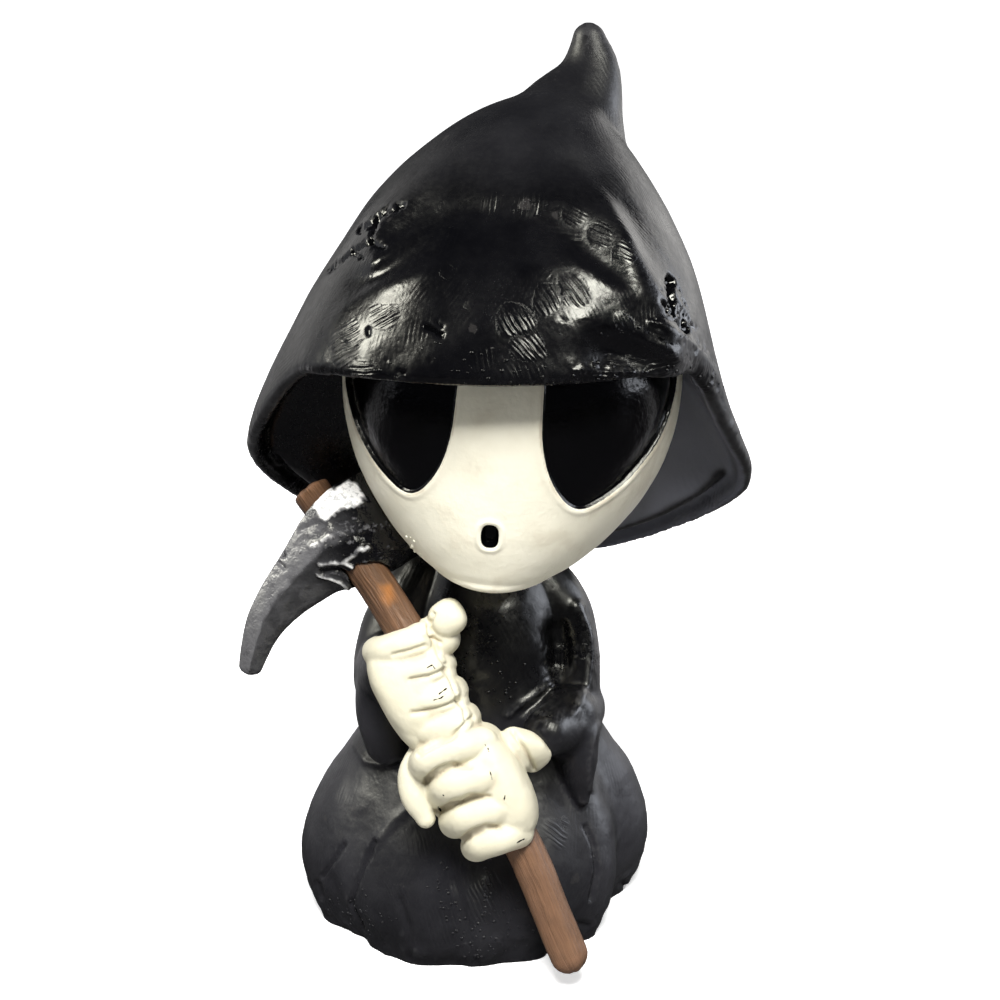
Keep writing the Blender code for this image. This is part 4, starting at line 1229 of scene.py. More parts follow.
def mask_mesh():
    angles = spaced((-180, -96, -7, 7, 96, 180), (4.0, 0.55, 0.28, 0.55, 4.0))[:-1]
    heights = spaced((109, 112, 123, 135, 192.5, 194), (0.5, 0.45, 0.22, 0.42, 0.3))
    turn, z = (g.ravel() for g in np.meshgrid(angles, heights))
    flat = flat_place(turn, z)
    across, up = squared_circle(np.linspace(0, 2 * math.pi, 40, endpoint=False), MOUTH_SQUARENESS)
    lips = np.stack([MOUTH_WIDTH / 2 * across, MOUTH_LEVEL + MOUTH_HEIGHT / 2 * up], axis=1)
    mouth = inside(flat, lips)
    corners = np.array(EYE_OUTLINE + EYE_OUTLINE[:1], float)
    knots = np.arange(len(corners))
    outline = smooth_through(knots, corners, np.linspace(0, knots[-1], 120, endpoint=False))
    eyes = [inside(flat, flat_place(side * outline[:, 0], outline[:, 1])) for side in (-1, 1)]
    eye = np.maximum(*eyes)
    lift = -EYE_DEPTH * ramp(eye, -0.15, 0.75) + EYE_SWELL * ramp(eye, 0.7, 8.0)
    lift += 0.28 * bump(eye, -1.0, 0.8)
    lift += -MOUTH_DEPTH * ramp(mouth, -0.1, 0.9) + 0.3 * bump(mouth, -0.9, 0.7)
    lift += lumpy(head_point(turn, z), MASK_LUMPS)
    points = head_point(turn, z, lift)
    mesh = mesh_from(*skin(points.reshape(len(heights), len(angles), 3)), "mask")
    ends = np.full(2, OUTSIDE)
    keep(mesh, "black", np.concatenate([np.maximum(eye, mouth), ends]))
    # Painted shade: a ring of crease just outside each eye's edge, which the bone paint darkens.
    keep(mesh, "crease", np.concatenate([0.54 * bump(eye, -0.35, 0.3), ends * 0]))
    return mesh


finished(mask_mesh(), BONE, *FIGURE)

# %% [markdown]
# ## The stick
# A whittled twig with a slight bow. It could be a curve with a round profile, but the knife's
# shallow facets wander along it and its stain needs the place along and round the wood. So it is
# a tube of rings made here, where every point knows both, and the facets are pressed into it.

# %% Stick: its path
STICK_ROUTE = ((26.6, -54.5, 10.3), (22.6, -52.5, 20.0), (15.6, -49.0, 37.0), (6.4, -44.5, 55.0),
               (-4.4, -38.5, 74.0), (-14.8, -31.0, 91.0), (-25.0, -23.0, 105.5),
               (-42.2, -11.0, 126.5))
STICK_TOP = (-43.7, -9.9, 128.3)
STICK_RADIUS = 5.6
# The outline, in pixels, of an orange patch on the upper stick.
ORANGE_PATCH_OUTLINE = ((378, 585), (392, 584), (397, 600), (388, 606), (380, 598))


def stick_frame(share):
    """A point on the stick's middle line, the way up it, and two directions across it."""
    path = routed(STICK_ROUTE, 201)
    k = share * 200
    low = int(min(max(math.floor(k), 0), 199))
    point = path[low] + (k - low) * (path[low + 1] - path[low])
    up = unit(path[min(low + 3, 200)] - path[max(low - 3, 0)])
    front = unit(np.array((0.0, -1.0, 0.0)) - up * np.dot((0.0, -1.0, 0.0), up))
    return point, up, front, np.cross(up, front)


def stick_mesh():
    """The stick as a swept form, with shallow knife facets and a soft round foot."""
    count, sides = 170, 56
    path = routed((*STICK_ROUTE[:-1], STICK_TOP), count)
    share = np.linspace(0, 1, count)
    points, faces = tube(path, STICK_RADIUS, STICK_RADIUS, sides=sides, domes=(1.0, 0.3))
    mesh = mesh_from(points, faces, "stick")
    outward = normals_of(mesh)
    caps = len(DOME_ANGLES)
    along = np.concatenate([np.zeros(caps), share, np.ones(caps)]).repeat(sides)
    along = np.append(along, (0, 1))
    turn = np.tile(np.linspace(0, 360, sides, endpoint=False), count + 2 * caps)
    turn = np.append(turn, (0, 0))
    wander = turn + 18 * np.sin(along * 7) + 10 * np.sin(along * 19 + 2)
    facets = np.abs(np.cos(np.radians(wander * 2.5))) ** 0.6
    relief = -0.42 * (1 - facets) - 0.25 * (lumps(points, 12.0, 41) * 0.5 + 0.5)
    relief -= 0.2 * (lumps(points, 4.0, 42) * 0.5 + 0.5)
    move_points(mesh, points + outward * np.minimum(relief, 0)[:, None])
    length = np.linalg.norm(np.diff(path, axis=0), axis=1).sum()
    keep(mesh, "stroke", np.stack([np.radians(turn) * STICK_RADIUS, along * length,
                                   np.zeros_like(turn)], axis=1))
    # Painted shade: where the darker stain of the upper end begins.
    keep(mesh, "height", ramp(along, 0.5, 0.85))
    seen = in_picture(points)
    patch = np.maximum(inside(seen, ORANGE_PATCH_OUTLINE), OUTSIDE)
    keep(mesh, "orange", ramp(patch, -4, 3) * (0.6 + 0.4 * lumps(points, 2.0, 44)))
    keep(mesh, "crease", creases(mesh, 6, 0.25))
    return mesh


finished(stick_mesh(), STICK, *HANDLE)

# %% [markdown]
# ## The blade
# A thick claw with a ridge down its face. It was cast rough: lumps all over, a lip pushed up
# where it meets the stick, and a nick in its outer edge. The stick passes through its eye and its
# root lies against the cheek, so both are cut out of it, each a little wider than the real form.
# The cuts are booleans because they leave sharp edges, as a drill and a file would.

# %% Blade
BLADE_ROUTE = ((-17, -9, 124.0), (-23.5, -12.5, 122.4), (-31.2, -16.4, 118.8), (-39.7, -18.5, 112.4),
               (-46.0, -20, 106.6), (-51.7, -21.5, 100.7), (-56.2, -23, 94.3), (-59.4, -24.5, 86),
               (-60.4, -25, 82.6))
BLADE_WIDTHS = (27, 28, 28.5, 25, 19.4, 15.4, 12.2, 9.2, 6.6)
BLADE_EYE = STICK_RADIUS + 0.4 + 2.6
BLADE_TIP = 2.5
BLADE_MARKS = (
    (((323, 572), (335, 570), (345, 573), (355, 580)), 2.2, -1.9),
    (((320, 564), (333, 562), (345, 563), (352, 567)), 2.4, 0.9),
    (((318, 575), (329, 578), (340, 582), (348, 587)), 1.8, 0.9),
    (((347, 560), (358, 551), (368, 547)), 2.2, 0.8),
    (((341, 540), (352, 536), (366, 535)), 3.4, -0.9),
    (((268, 556), (275, 552), (282, 555)), 2.6, -1.3),
    (((278, 562), (284, 568)), 2.2, -0.9),
    (((300, 530), (314, 524), (327, 526)), 3.0, -0.6),
    (((327, 519), (340, 517), (352, 511)), 2.6, -0.8),
    (((310, 547), (322, 541), (338, 533)), 2.8, 0.6),
    (((345, 489), (352, 497), (365, 500)), 3.0, -0.6),
)
# The outline, in pixels, of a painted highlight near the top of the blade.
BLADE_HIGHLIGHT_OUTLINE = ((313, 512), (318, 499), (330, 489), (346, 482), (358, 484), (364, 493), (358, 502),
               (344, 508), (334, 517), (322, 519))
RIDGE_ACROSS = (-0.1, -0.05, 0.12, 0.26, 0.28, 0.26, 0.2, 0.1, 0.0)
BLADE_THICKNESS = ((0, 0.3, 0.55, 1), (BLADE_EYE * 0.92, BLADE_EYE, BLADE_EYE * 0.6, BLADE_TIP))
BLADE_ROWS, BLADE_SIDES = 190, 120
CLAW_BEGINS = (0.33, 0.52)
BLADE_DOMES, ROOT_DOME = (0.3, 0.55, 0.78, 0.93, 0.99), 0.5
BLADE_SHRINK = 0.12


def blade_rings():
    """The rings, how far across the ridge each of their points is, and how far down the blade."""
    path = routed(BLADE_ROUTE, BLADE_ROWS)
    share = np.linspace(0, 1, BLADE_ROWS)
    width, ridge = (smooth_through(np.linspace(0, 1, len(values)), values, share)
                    for values in (BLADE_WIDTHS, RIDGE_ACROSS))
    half = np.interp(share, *BLADE_THICKNESS)
    along, outer, front = directions(path, (0.0, -1.0, 0.0))
    turn = np.linspace(0, 2 * math.pi, BLADE_SIDES, endpoint=False)
    across, sine = np.cos(turn), np.sin(turn)
    round_part = np.abs(sine) ** 1.15
    block = np.maximum(1 - np.abs(across) ** 4, 0) ** 0.25
    rings, facet = [], []
    for k, claw in enumerate(ramp(share, *CLAW_BEGINS)):
        slope = np.where(across > ridge[k], 1 - ridge[k], 1 + ridge[k])
        peak = 1 - np.abs(across - ridge[k]) / slope
        inner = (1 - claw) * block + claw * (0.62 * peak + 0.38 * round_part)
        outer_part = (0.85 - 0.2 * claw) * peak + (0.15 + 0.2 * claw) * round_part
        deep = np.where(turn < math.pi, np.where(across > ridge[k], outer_part, inner), round_part)
        rings.append(path[k] + np.outer(across, outer[k]) * width[k] / 2
                     + np.outer(np.sign(sine) * deep * half[k], front[k]))
        facet.append(across - ridge[k])

    def domes(end, reach):
        return [path[end] + (rings[end] - path[end]) * math.sqrt(1 - c * c)
                + along[end] * c * half[end] * reach for c in BLADE_DOMES]

    caps = len(BLADE_DOMES)
    facet = np.concatenate([facet[0]] * caps + facet + [facet[-1]] * caps + [(0, 0)])
    down = np.concatenate([np.zeros(caps), share, np.ones(caps)]).repeat(BLADE_SIDES)
    return domes(0, -ROOT_DOME)[::-1] + rings + domes(-1, 1.0), facet, np.append(down, (0, 1))


def blade_mesh():
    """A claw whose face has two facets, which meet in a ridge nearer its outer edge."""
    rings, facet, down = blade_rings()
    points, faces = skin(rings)
    mesh = mesh_from(points, faces, "blade_cast")
    outward = normals_of(mesh)
    marks = marked(points, outward, BLADE_MARKS)
    rough_part = (0.35 + 0.65 * ramp(-down, -0.55, -0.3)) * (0.16 + 0.2 * ramp(-facet, -0.1, 0.3))
    relief = marks + rough_part * lumpy(points, ((1.0, 4.6, 51), (0.6, 2.2, 52))) - BLADE_SHRINK
    move_points(mesh, points + outward * relief[:, None])
    # Painted highlight: glints on the raised lips, and a near-white patch by the top of the blade.
    lips = 0.75 * ramp(marks + 0.4 * lumps(points, 1.4, 56), 0.4, 0.9)
    ragged = lumpy(points, ((5, 2.6, 55), (3, 1.0, 57)))
    bright = ramp(inside(in_picture(points), BLADE_HIGHLIGHT_OUTLINE) + ragged, -1.5, 1.5)
    keep(mesh, "painted_highlight", np.clip(np.maximum(bright * facing_camera(points, outward), lips), 0, 1))
    silver = ramp(facet + 0.1 * lumps(points, 2.6, 53), -0.1, 0.16) * ramp(down, 0.22, 0.5)
    silver = np.maximum(silver * (0.85 + 0.2 * lumps(points, 3.0, 54)), 0.25 * ramp(down, 0.3, 0.6))
    keep(mesh, "silver", np.clip(silver, 0, 1))
    keep(mesh, "crease", creases(mesh, 10, 0.3))
    return mesh


def bored(mesh, cutters):
    """The mesh with each cutter taken out of it."""
    body = placed(mesh.name + "_body", mesh)
    tools = [placed(f"cutter_{k}", mesh_from(*form, f"cutter_{k}"))
             for k, form in enumerate(cutters)]
    for tool in tools:
        step = body.modifiers.new("Cut " + tool.name, "BOOLEAN")
        step.operation, step.solver, step.object = "DIFFERENCE", "MANIFOLD", tool
    made = evaluated(body)
    for tool in tools:
        bpy.data.objects.remove(tool)
    made.shade_smooth()
    return made


def head_form(lift):
    angles = np.linspace(-180, 180, 120, endpoint=False)
    heights = np.linspace(HEAD_HEIGHTS[0], HEAD_HEIGHTS[-1], 70)
    return skin([head_point(angles, np.full_like(angles, z), lift) for z in heights])


def stick_bore(clearance):
    path = routed(STICK_ROUTE, 60)
    path = np.concatenate([[path[0] - 9 * unit(path[1] - path[0])], path,
                           [path[-1] + 9 * unit(path[-1] - path[-2])]])
    return tube(path, STICK_RADIUS + clearance, STICK_RADIUS + clearance, sides=40)


EYE_CLEARANCE, CHEEK_CLEARANCE = 0.3, 0.5
blade = bored(blade_mesh(), (stick_bore(EYE_CLEARANCE), head_form(CHEEK_CLEARANCE)))
blade.name = "blade"
finished(blade, BLADE, *BLADE_PART)

# %% [markdown]
# ## The fists
# Two blunt hands close on the stick, the right one above. Each is a palm, a back and four
# fingers laid round the stick, fused and then worked: grooves between the fingers, a row of
# fingertips, and chips in the bone paint that show the black below. The lower hand's fingers are
# placed where the photograph shows them, the upper hand's are wound round the stick.

# %% Fists: their forms
FINGER_RADIUS, FINGER_BEND, FINGERS = 4.3, 0.62, 4
FINGER_FROM, FINGER_TO, FINGER_SHORTER, FINGER_DROP = -70, 30, 4, 3.6
FINGER_PITCH = 0.92 * 2 * FINGER_RADIUS
UPPER_FIST_HEIGHT, LOWER_FIST_HEIGHT, FIST_SHIFT = 83.6, 55.6, 1.2


def fist_shares(height):
    """The shares of the stick's length at which a fist's fingers lie, from the top one down."""
    path = routed(STICK_ROUTE, 201)
    length = np.linalg.norm(np.diff(path, axis=0), axis=1).sum()
    middle = np.interp(height, path[:, 2], np.linspace(0, 1, 201))
    return [middle + ((FINGERS - 1) / 2 - i) * FINGER_PITCH / length for i in range(FINGERS)]


# Each finger of the lower hand: pixels with how far back they lie, and its radius.
LOWER_FINGERS = (
    (((482, 742, -46), (452, 750, -50.5), (430, 760, -50), (422, 766, -44)), 4.3),
    (((500, 772, -48), (476, 778, -52.5), (451, 786, -52), (441, 792, -46)), 4.7),
    (((512, 804, -50), (492, 810, -54), (467, 818, -53.5), (455, 822, -48)), 4.6),
    (((518, 832, -51.5), (502, 837, -55.5), (485, 843, -55), (476, 846, -49.5)), 4.4),
)


def finger(share, start, end, drop, shift):
    """A finger laid round the stick at a share of its length, from one angle to another."""
    point, up, front, right = stick_frame(share)
    point = point + shift * right
    reach = STICK_RADIUS + FINGER_RADIUS * FINGER_BEND
    turns = np.radians(np.linspace(start, end, 40))
    slide = np.linspace(0.5, -0.5, 40) * drop
    path = (point + np.outer(np.cos(turns) * reach, front) + np.outer(np.sin(turns) * reach, right)
            + np.outer(slide, up))
    return tube(path, FINGER_RADIUS, FINGER_RADIUS, sides=32, facing=up)


def lump_form(centre, half_sizes, axes):
    """A rounded block, such as the back of a hand, with its half sizes along the given axes."""
    right, front, up = axes
    wide, deep, tall = half_sizes
    levels = np.linspace(-0.5 * math.pi, 0.5 * math.pi, 31)[1:-1]
    power = 0.8
    cosines, sines = squared_circle(np.linspace(0, 2 * math.pi, 60, endpoint=False), power)
    rings = []
    for level in levels:
        shrink = math.cos(level) ** power
        rise = math.copysign(abs(math.sin(level)) ** power, level)
        rings.append(centre + rise * tall * up + np.outer(cosines * shrink * wide, right)
                     + np.outer(sines * shrink * deep, front))
    return skin(rings)


def beside(share, sideways, forward, upward, half_sizes):
    """A rounded block placed from the stick's own line, along the stick's own axes."""
    point, up, front, right = stick_frame(share)
    return lump_form(point + sideways * right + forward * front + upward * up, half_sizes,
                     (right, front, up))


# Each block is how far it lies beside, before and above its place on the stick, and its half sizes.
UPPER_BLOCKS = ((-3.8, 0, 0, (9.4, 12.0, 15.0)), (-6.6, 0.9, 0.2, (8.8, 11.5, 15.8)),
                (-7.0, 0.3, -3.0, (8.6, 10.5, 15.4)), (-8.0, -3.5, 0.5, (6.8, 8.5, 15.5)))
FINGER_BLOCKS = ((3.6, 6.2, -1.0, (4.2, 4.6, 3.8)), (4.2, 0.5, -1.8, (4.2, 7.0, 3.9)),
                 (4.2, 2.0, -4.6, (3.2, 5.4, 3.2)))
LOWER_BLOCKS = ((-2.2, 0, -0.4, (9.2, 10.6, 14.6)), (1.8, 2.2, 0.6, (8.4, 9.9, 16.0)),
                (0.2, 0, 10.5, (8.6, 9.6, 7.4)))
UPPER_THUMB_BLOCKS = ((12.7, 3.5, -0.5, (4.9, 5.2, 5.0)), (7.0, 1.0, -3.0, (5.8, 5.6, 6.0)))
# The lower hand's thumb, the flesh behind it, the heel of that hand, and the upper hand's wrist.
HAND_TUBES = (
    (((-9.0, -40, 67), (-14.8, -44, 61.5), (-15.2, -47, 55.0), (-12.0, -49, 48.6)),
     (4.0, 4.1, 3.9, 2.7), (3.8, 3.8, 3.6, 2.6), 2.0),
    (((-6.0, -38, 64), (-8.6, -41, 59.5), (-8.8, -43, 54.5), (-7.4, -45, 50.2)),
     (4.6, 4.6, 4.4, 3.2), (4.0, 4.0, 3.6, 3.0), 2.0),
    (((11.0, -40.5, 66.0), (15.0, -39.0, 64.0), (17.6, -37.0, 61.5)),
     (5.4, 5.4, 4.6), (4.2, 4.2, 3.8), 3.0),
    (((-15, -30, 85), (-19, -26, 83)), (6.5, 7.5), (7.5, 8.5), 2.0),
)


def fist_forms():
    """The right fist above, its fingers closing to the viewer's right, and the left one below."""
    upper, lower = fist_shares(UPPER_FIST_HEIGHT), fist_shares(LOWER_FIST_HEIGHT)
    over, under = sum(upper) / FINGERS, sum(lower) / FINGERS
    made = [finger(share, FINGER_FROM, FINGER_TO - FINGER_SHORTER * k, FINGER_DROP, -FIST_SHIFT)
            for k, share in enumerate(upper)]
    made += [tube(routed([at_pixel(*spot) for spot in route], 30), radius, radius, sides=32,
                  facing=(0, 0.3, 1)) for route, radius in LOWER_FINGERS]
    made += [beside(over, *block) for block in UPPER_BLOCKS]
    made += [beside(share, sideways - 0.6 * k, *rest) for k, share in enumerate(upper)
             for sideways, *rest in FINGER_BLOCKS]
    made += [beside(under, *block) for block in LOWER_BLOCKS]
    made += [beside(upper[0], *block) for block in UPPER_THUMB_BLOCKS]
    made += [cloth_tube(route, across, thick, power=power)
             for route, across, thick, power in HAND_TUBES]
    return made


# %% Fists: their marks and chips
FIST_MARKS = (
    (((394, 655), (410, 651), (425, 646)), 2.6, -0.7),
    (((410, 680), (428, 677), (444, 671)), 2.6, -0.9),
    (((413, 713), (436, 710), (460, 701)), 2.6, -0.9),
    (((427, 780), (438, 770), (452, 765), (470, 767)), 2.6, -1.0),
    (((439, 812), (455, 802), (470, 797), (489, 797)), 2.6, -1.0),
    (((459, 843), (472, 832), (486, 827), (500, 828)), 2.6, -0.9),
    (((433, 638), (440, 656), (446, 664)), 2.2, -0.8),
    (((446, 668), (452, 682), (456, 692)), 2.2, -0.8),
    (((457, 698), (464, 708), (466, 718)), 2.2, -0.7),
    (((433, 614), (428, 626), (431, 636), (440, 643)), 2.2, -0.9),
    (((418, 617), (426, 624), (424, 634)), 2.4, 0.4),
    (((513, 731), (524, 748), (532, 764), (536, 778)), 2.6, -1.3),
    (((472, 718), (452, 738), (430, 748), (418, 755)), 2.6, -0.9),
)
FIST_CHIPS = (
    ((427, 668), (432, 665), (435, 669)), ((439, 694), (447, 688)), ((434, 700), (441, 698), (446, 694)),
    ((490, 771), (491, 775), (492, 780)), ((485, 744), (486, 746)), ((488, 748), (489, 752)),
    ((505, 795), (504, 800)), ((438, 807), (439, 812)), ((443, 795), (444, 796)),
    ((517, 843), (524, 839)), ((418, 630), (419, 632)),
)

FIST_SQUARE, FIST_LUMPS = 0.36, ((0.16, 5.0, 61), (0.05, 1.8, 62))

fists = fused(fist_forms(), FIST_SQUARE, 9, "fists")
places, outward = points_of(fists), normals_of(fists)
relief = marked(places, outward, FIST_MARKS, 0.15) + lumpy(places, FIST_LUMPS)
move_points(fists, places + outward * relief[:, None])
seen = in_picture(places)
chip = np.full(len(places), OUTSIDE)
for line in FIST_CHIPS:
    chip = np.maximum(chip, 0.6 + 0.5 * lumps(places, 0.8, 63) - to_line(seen, line))
chip = np.where(facing_camera(places, outward) > 0.2, chip * MM_PER_PIXEL, OUTSIDE)
keep(fists, "black", chip)
# Painted shade: the fists' creases, which the bone paint darkens between the fingers.
keep(fists, "crease", settled(creases(fists, 50, 0.6), edges_of(fists), 4))
finished(fists, BONE_SHADED_HANDS, *FIGURE)

# %% [markdown]
# ## Beads of paint and glue
# Near the brow hang tiny dried beads of paint that glint, the blade's root and the front of the
# robe carry specks, and a few whitish crumbs of glue sit where the blade meets the cheek. They are
# scattered over a surface, so Geometry Nodes place them: points spread over the faces where a kept
# value allows, a small ball on each, flattened along the surface and turned with it.

# %% Bead tree


def bead_tree():
    tree = bpy.data.node_groups.new("beads_on_a_surface", "GeometryNodeTree")
    for label, kind, value in (
            ("Geometry", "Geometry", None), ("Per Square Metre", "Float", 1000.0),
            ("Smallest", "Float", 0.0002), ("Largest", "Float", 0.0005), ("Flatness", "Float", 0.5),
            ("Seed", "Int", 1), ("Paint", "Material", None)):
        socket = tree.interface.new_socket(label, in_out="INPUT", socket_type="NodeSocket" + kind)
        if value is not None:
            socket.default_value = value
    tree.interface.new_socket("Geometry", in_out="OUTPUT", socket_type="NodeSocketGeometry")
    given, out = tree.nodes.new("NodeGroupInput"), tree.nodes.new("NodeGroupOutput")
    wanted = node(tree, "GeometryNodeInputNamedAttribute", {"data_type": "FLOAT"}, Name="bead_place")
    density = times(tree, given.outputs["Per Square Metre"], wanted.outputs["Attribute"])
    spots = node(tree, "GeometryNodeDistributePointsOnFaces", Mesh=given.outputs["Geometry"],
                 Density=density, Seed=given.outputs["Seed"])
    ball = node(tree, "GeometryNodeMeshIcoSphere", Radius=1.0, Subdivisions=2)
    size = node(tree, "FunctionNodeRandomValue", {"data_type": "FLOAT"},
                i2=given.outputs["Smallest"], i3=given.outputs["Largest"], Seed=given.outputs["Seed"])
    flat = times(tree, size.outputs[1], given.outputs["Flatness"])
    scale = node(tree, "ShaderNodeCombineXYZ", X=size.outputs[1], Y=size.outputs[1], Z=flat)
    balls = node(tree, "GeometryNodeInstanceOnPoints", Points=spots.outputs["Points"],
                 Instance=ball.outputs["Mesh"], Rotation=spots.outputs["Rotation"],
                 Scale=scale.outputs[0])
    real = node(tree, "GeometryNodeRealizeInstances", Geometry=balls.outputs["Instances"])
    smooth = node(tree, "GeometryNodeSetShadeSmooth", Geometry=real.outputs[0])
    done = node(tree, "GeometryNodeSetMaterial", Geometry=smooth.outputs[0],
                Material=given.outputs["Paint"])
    tree.links.new(done.outputs[0], out.inputs[0])
    return tree


BEADS = bead_tree()


# The beads take their surface's paint, which reads these values: glossy, unmarked and unworn, with a
# painted highlight on the blade's beads.
BEAD_VALUES = {"crease": 0.0, "gloss": 1.0, "stroke_depth": 0.0, "black": OUTSIDE, "silver": 0.0,
               "painted_highlight": 0.7}


def beads_on(mesh, wanted, name, paint, part, density, sizes, flatness, seed):
    """Beads over the mesh where wanted is above 0, as a piece of their own."""
    copy = mesh.copy()
    keep(copy, "bead_place", wanted)
    ground = placed(name + "_ground", copy)
    step = ground.modifiers.new("Beads", "NODES")
    step.node_group = BEADS
    numbers = {"Per Square Metre": density, "Smallest": sizes[0], "Largest": sizes[1],
               "Flatness": flatness, "Seed": seed, "Paint": paint}
    for item in BEADS.interface.items_tree:
        if item.in_out == "INPUT" and item.name in numbers:
            step[item.identifier] = numbers[item.name]
    made = evaluated(ground)
    made.name = name
    for value_name, value in BEAD_VALUES.items():
        keep(made, value_name, np.full(len(made.vertices), value))
    keep(made, "stroke", np.zeros((len(made.vertices), 3)))
    finished(made, paint, *part)


def near_lines(mesh, lines):
    """How much the mesh's points want beads: each line is (share, line of pixels, width)."""
    places = points_of(mesh)
    seen = in_picture(places)
    wanted = sum(share * bump(to_line(seen, line), 0, width) for share, line, width in lines)
    return wanted * facing_camera(places, normals_of(mesh))


# %% Scatter the beads
FOLD_BEADS = ((0.5, ((540, 345), (580, 322), (640, 330), (690, 345)), 12),
              (0.5, ((420, 340), (470, 360), (520, 372)), 14))
BLADE_BEADS = ((1.0, ((345, 535), (370, 528), (395, 545), (372, 556)), 16),
               (0.6, ((285, 545), (320, 530)), 12))
ROBE_BEADS = ((0.6, ((440, 875), (452, 905), (468, 955)), 12),
              (1.0, ((486, 872), (492, 900), (486, 930), (480, 960)), 9),
              (0.7, ((512, 905), (520, 930), (505, 950)), 12), (0.5, ((350, 905), (375, 925)), 16),
              (0.35, ((480, 640), (505, 660), (500, 690)), 22))
GLUE_CRUMBS = ((1.0, ((408, 538), (414, 549), (422, 562)), 3.0),)

places, mask = points_of(hood), PIECES["mask"].data
seen = in_picture(places)
near_brow = ramp(seen[:, 1], 352, 378) * ramp(-seen[:, 1], -392, -384) * ramp(seen[:, 0], 300, 380)
near_brow = near_brow * facing_camera(places, normals_of(hood)) + near_lines(hood, FOLD_BEADS)
above_floor = ramp(points_of(robe)[:, 2], 2.5, 4.0)
beads_on(hood, near_brow, "paint_beads", BLACK, FIGURE, 90000.0, (0.00022, 0.0006), 0.6, 4)
beads_on(blade, near_lines(blade, BLADE_BEADS), "blade_beads", BLADE, BLADE_PART, 110000.0,
         (0.0002, 0.0005), 0.7, 7)
beads_on(robe, near_lines(robe, ROBE_BEADS) * above_floor, "robe_beads", ROBE_BLACK_LIT, FIGURE,
         300000.0, (0.00016, 0.0005), 0.7, 12)
beads_on(mask, near_lines(mask, GLUE_CRUMBS), "glue_crumbs", BONE, FIGURE, 160000.0,
         (0.0002, 0.0006), 0.8, 9)

# %% [markdown]
# ## Floor and light
# A plain white floor that glows a little away from the object, so the picture fades to white as
# the photograph does. Two windows high on the left and the right are only mirrored in the gloss:
# they make the broad cream highlights. Four large boxes beside and behind are mirrored too, as the
# pale room that gives the sides their grey. The ceiling and the side light are the other way
# round: they light the paint and stay out of its gloss.

# %% The floor
FLOOR_REACH = 6.0
FLOOR_TINTS = ((0.86, 0.86, 0.86), (0.9, 0.9, 0.9))
FLOOR_MIRRORED = ((0.03, 0.03, 0.033), (0.6, 0.6, 0.62))
FLOOR_BOUNCE, DARK, WHITE = (0.36, 0.36, 0.36), (0.0, 0.0, 0.0), (1.0, 1.0, 1.0)
GLOW_BEGINS, GLOW_LEVELS = (0.05, 0.12), (0.6, 1.0)


def floor_piece():
    made = placed("floor", bpy.data.meshes.new("floor"))
    corners = [(x * FLOOR_REACH, y * FLOOR_REACH, 0)
               for x, y in ((-1, -1), (1, -1), (1, 1), (-1, 1))]
    made.data.from_pydata(corners, [], [(0, 1, 2, 3)])
    paint, tree, shader = new_paint("floor_white", Roughness=0.9, Specular_IOR_Level=0.0,
                                    Emission_Strength=1.0)
    place = object_place(tree)
    rays = node(tree, "ShaderNodeLightPath").outputs
    pale = blended(tree, mottled(tree, place, 400.0, 2.0), *FLOOR_TINTS)
    behind = node(tree, "ShaderNodeSeparateXYZ", Vector=place).outputs[1]
    mirrored = blended(tree, spread(tree, behind, 0.02, 0.3), *FLOOR_MIRRORED)
    bounced = blended(tree, rays["Is Diffuse Ray"], pale, FLOOR_BOUNCE)
    away = node(tree, "ShaderNodeVectorMath", {"operation": "LENGTH"}, i0=place).outputs["Value"]
    glow = times(tree, rays["Is Camera Ray"], spread(tree, away, *GLOW_BEGINS, *GLOW_LEVELS))
    filled(tree, shader, {"Base Color": blended(tree, rays["Is Glossy Ray"], bounced, mirrored),
                          "Emission Color": blended(tree, glow, DARK, WHITE)})
    made.data.materials.append(paint)


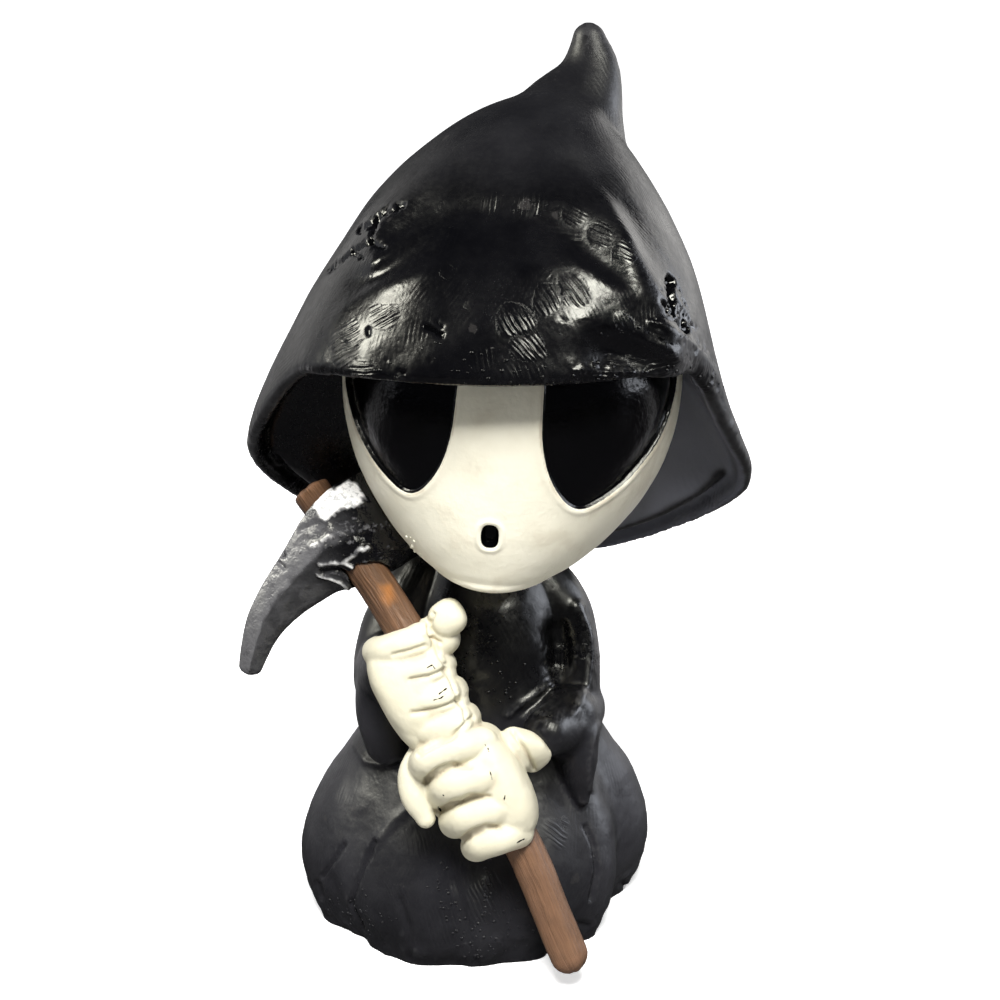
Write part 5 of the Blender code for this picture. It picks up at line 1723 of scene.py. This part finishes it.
# %% The lights
# Each light: name, place, height it is aimed at, size, power in watts, colour, and whether it is
# only mirrored in the gloss or only lights the paint.
LIGHTS = (
    ("window_left", (-0.924, -0.065, 0.695), 0.16, (0.34, 0.34), 5.8, (1.0, 0.98, 0.85), True),
    ("window_right", (0.561, -0.634, 0.863), 0.16, (0.36, 0.36), 7.4, (1.0, 0.99, 0.88), True),
    ("room_left", (-1.1, 0.3, 0.32), 0.1, (0.8, 0.5), 0.4, (0.92, 0.94, 1.0), True),
    ("room_right", (1.1, 0.3, 0.32), 0.1, (0.8, 0.5), 4.4, (0.88, 0.92, 1.0), True),
    ("behind_left", (-0.78, 1.05, 0.36), 0.12, (0.7, 0.7), 0.8, (1.0, 0.98, 0.95), True),
    ("behind_right", (0.78, 1.05, 0.36), 0.12, (0.7, 0.7), 2.2, (1.0, 0.98, 0.95), True),
    ("ceiling", (0.0, -0.69, 1.13), 0.1, (0.5, 0.42), 33.0, (1.0, 0.985, 0.97), False),
    ("side_light", (-0.9, -0.35, 0.5), 0.1, (0.5, 0.5), 0.9, (1.0, 0.98, 0.95), False),
)
WORLD_LIGHTING, WORLD_MIRRORED = (0.035, 0.036, 0.04), (0.026, 0.027, 0.033)


def soft_box(name, place, aim, size, power, colour, mirrored):
    light = bpy.data.lights.new(name, "AREA")
    light.shape, light.energy, light.color = "RECTANGLE", power, colour
    light.size, light.size_y = size
    made = placed(name, light)
    made.location = place
    made.rotation_mode = "QUATERNION"
    made.rotation_quaternion = (Vector((0, 0, aim)) - Vector(place)).to_track_quat("-Z", "Y")
    made.visible_glossy, made.visible_diffuse = mirrored, not mirrored


floor_piece()
for row in LIGHTS:
    soft_box(*row)
surroundings = bpy.data.worlds.new("surroundings")
surroundings.use_nodes = True
wires = surroundings.node_tree
rays = node(wires, "ShaderNodeLightPath").outputs
around = blended(wires, rays["Is Glossy Ray"], WORLD_LIGHTING, WORLD_MIRRORED)
backdrop = blended(wires, rays["Is Camera Ray"], around, WHITE)
filled(wires, wires.nodes["Background"], {"Color": backdrop})
bpy.context.scene.world = surroundings
bpy.context.scene.view_settings.view_transform = "Standard"
print("lights:", len(LIGHTS))
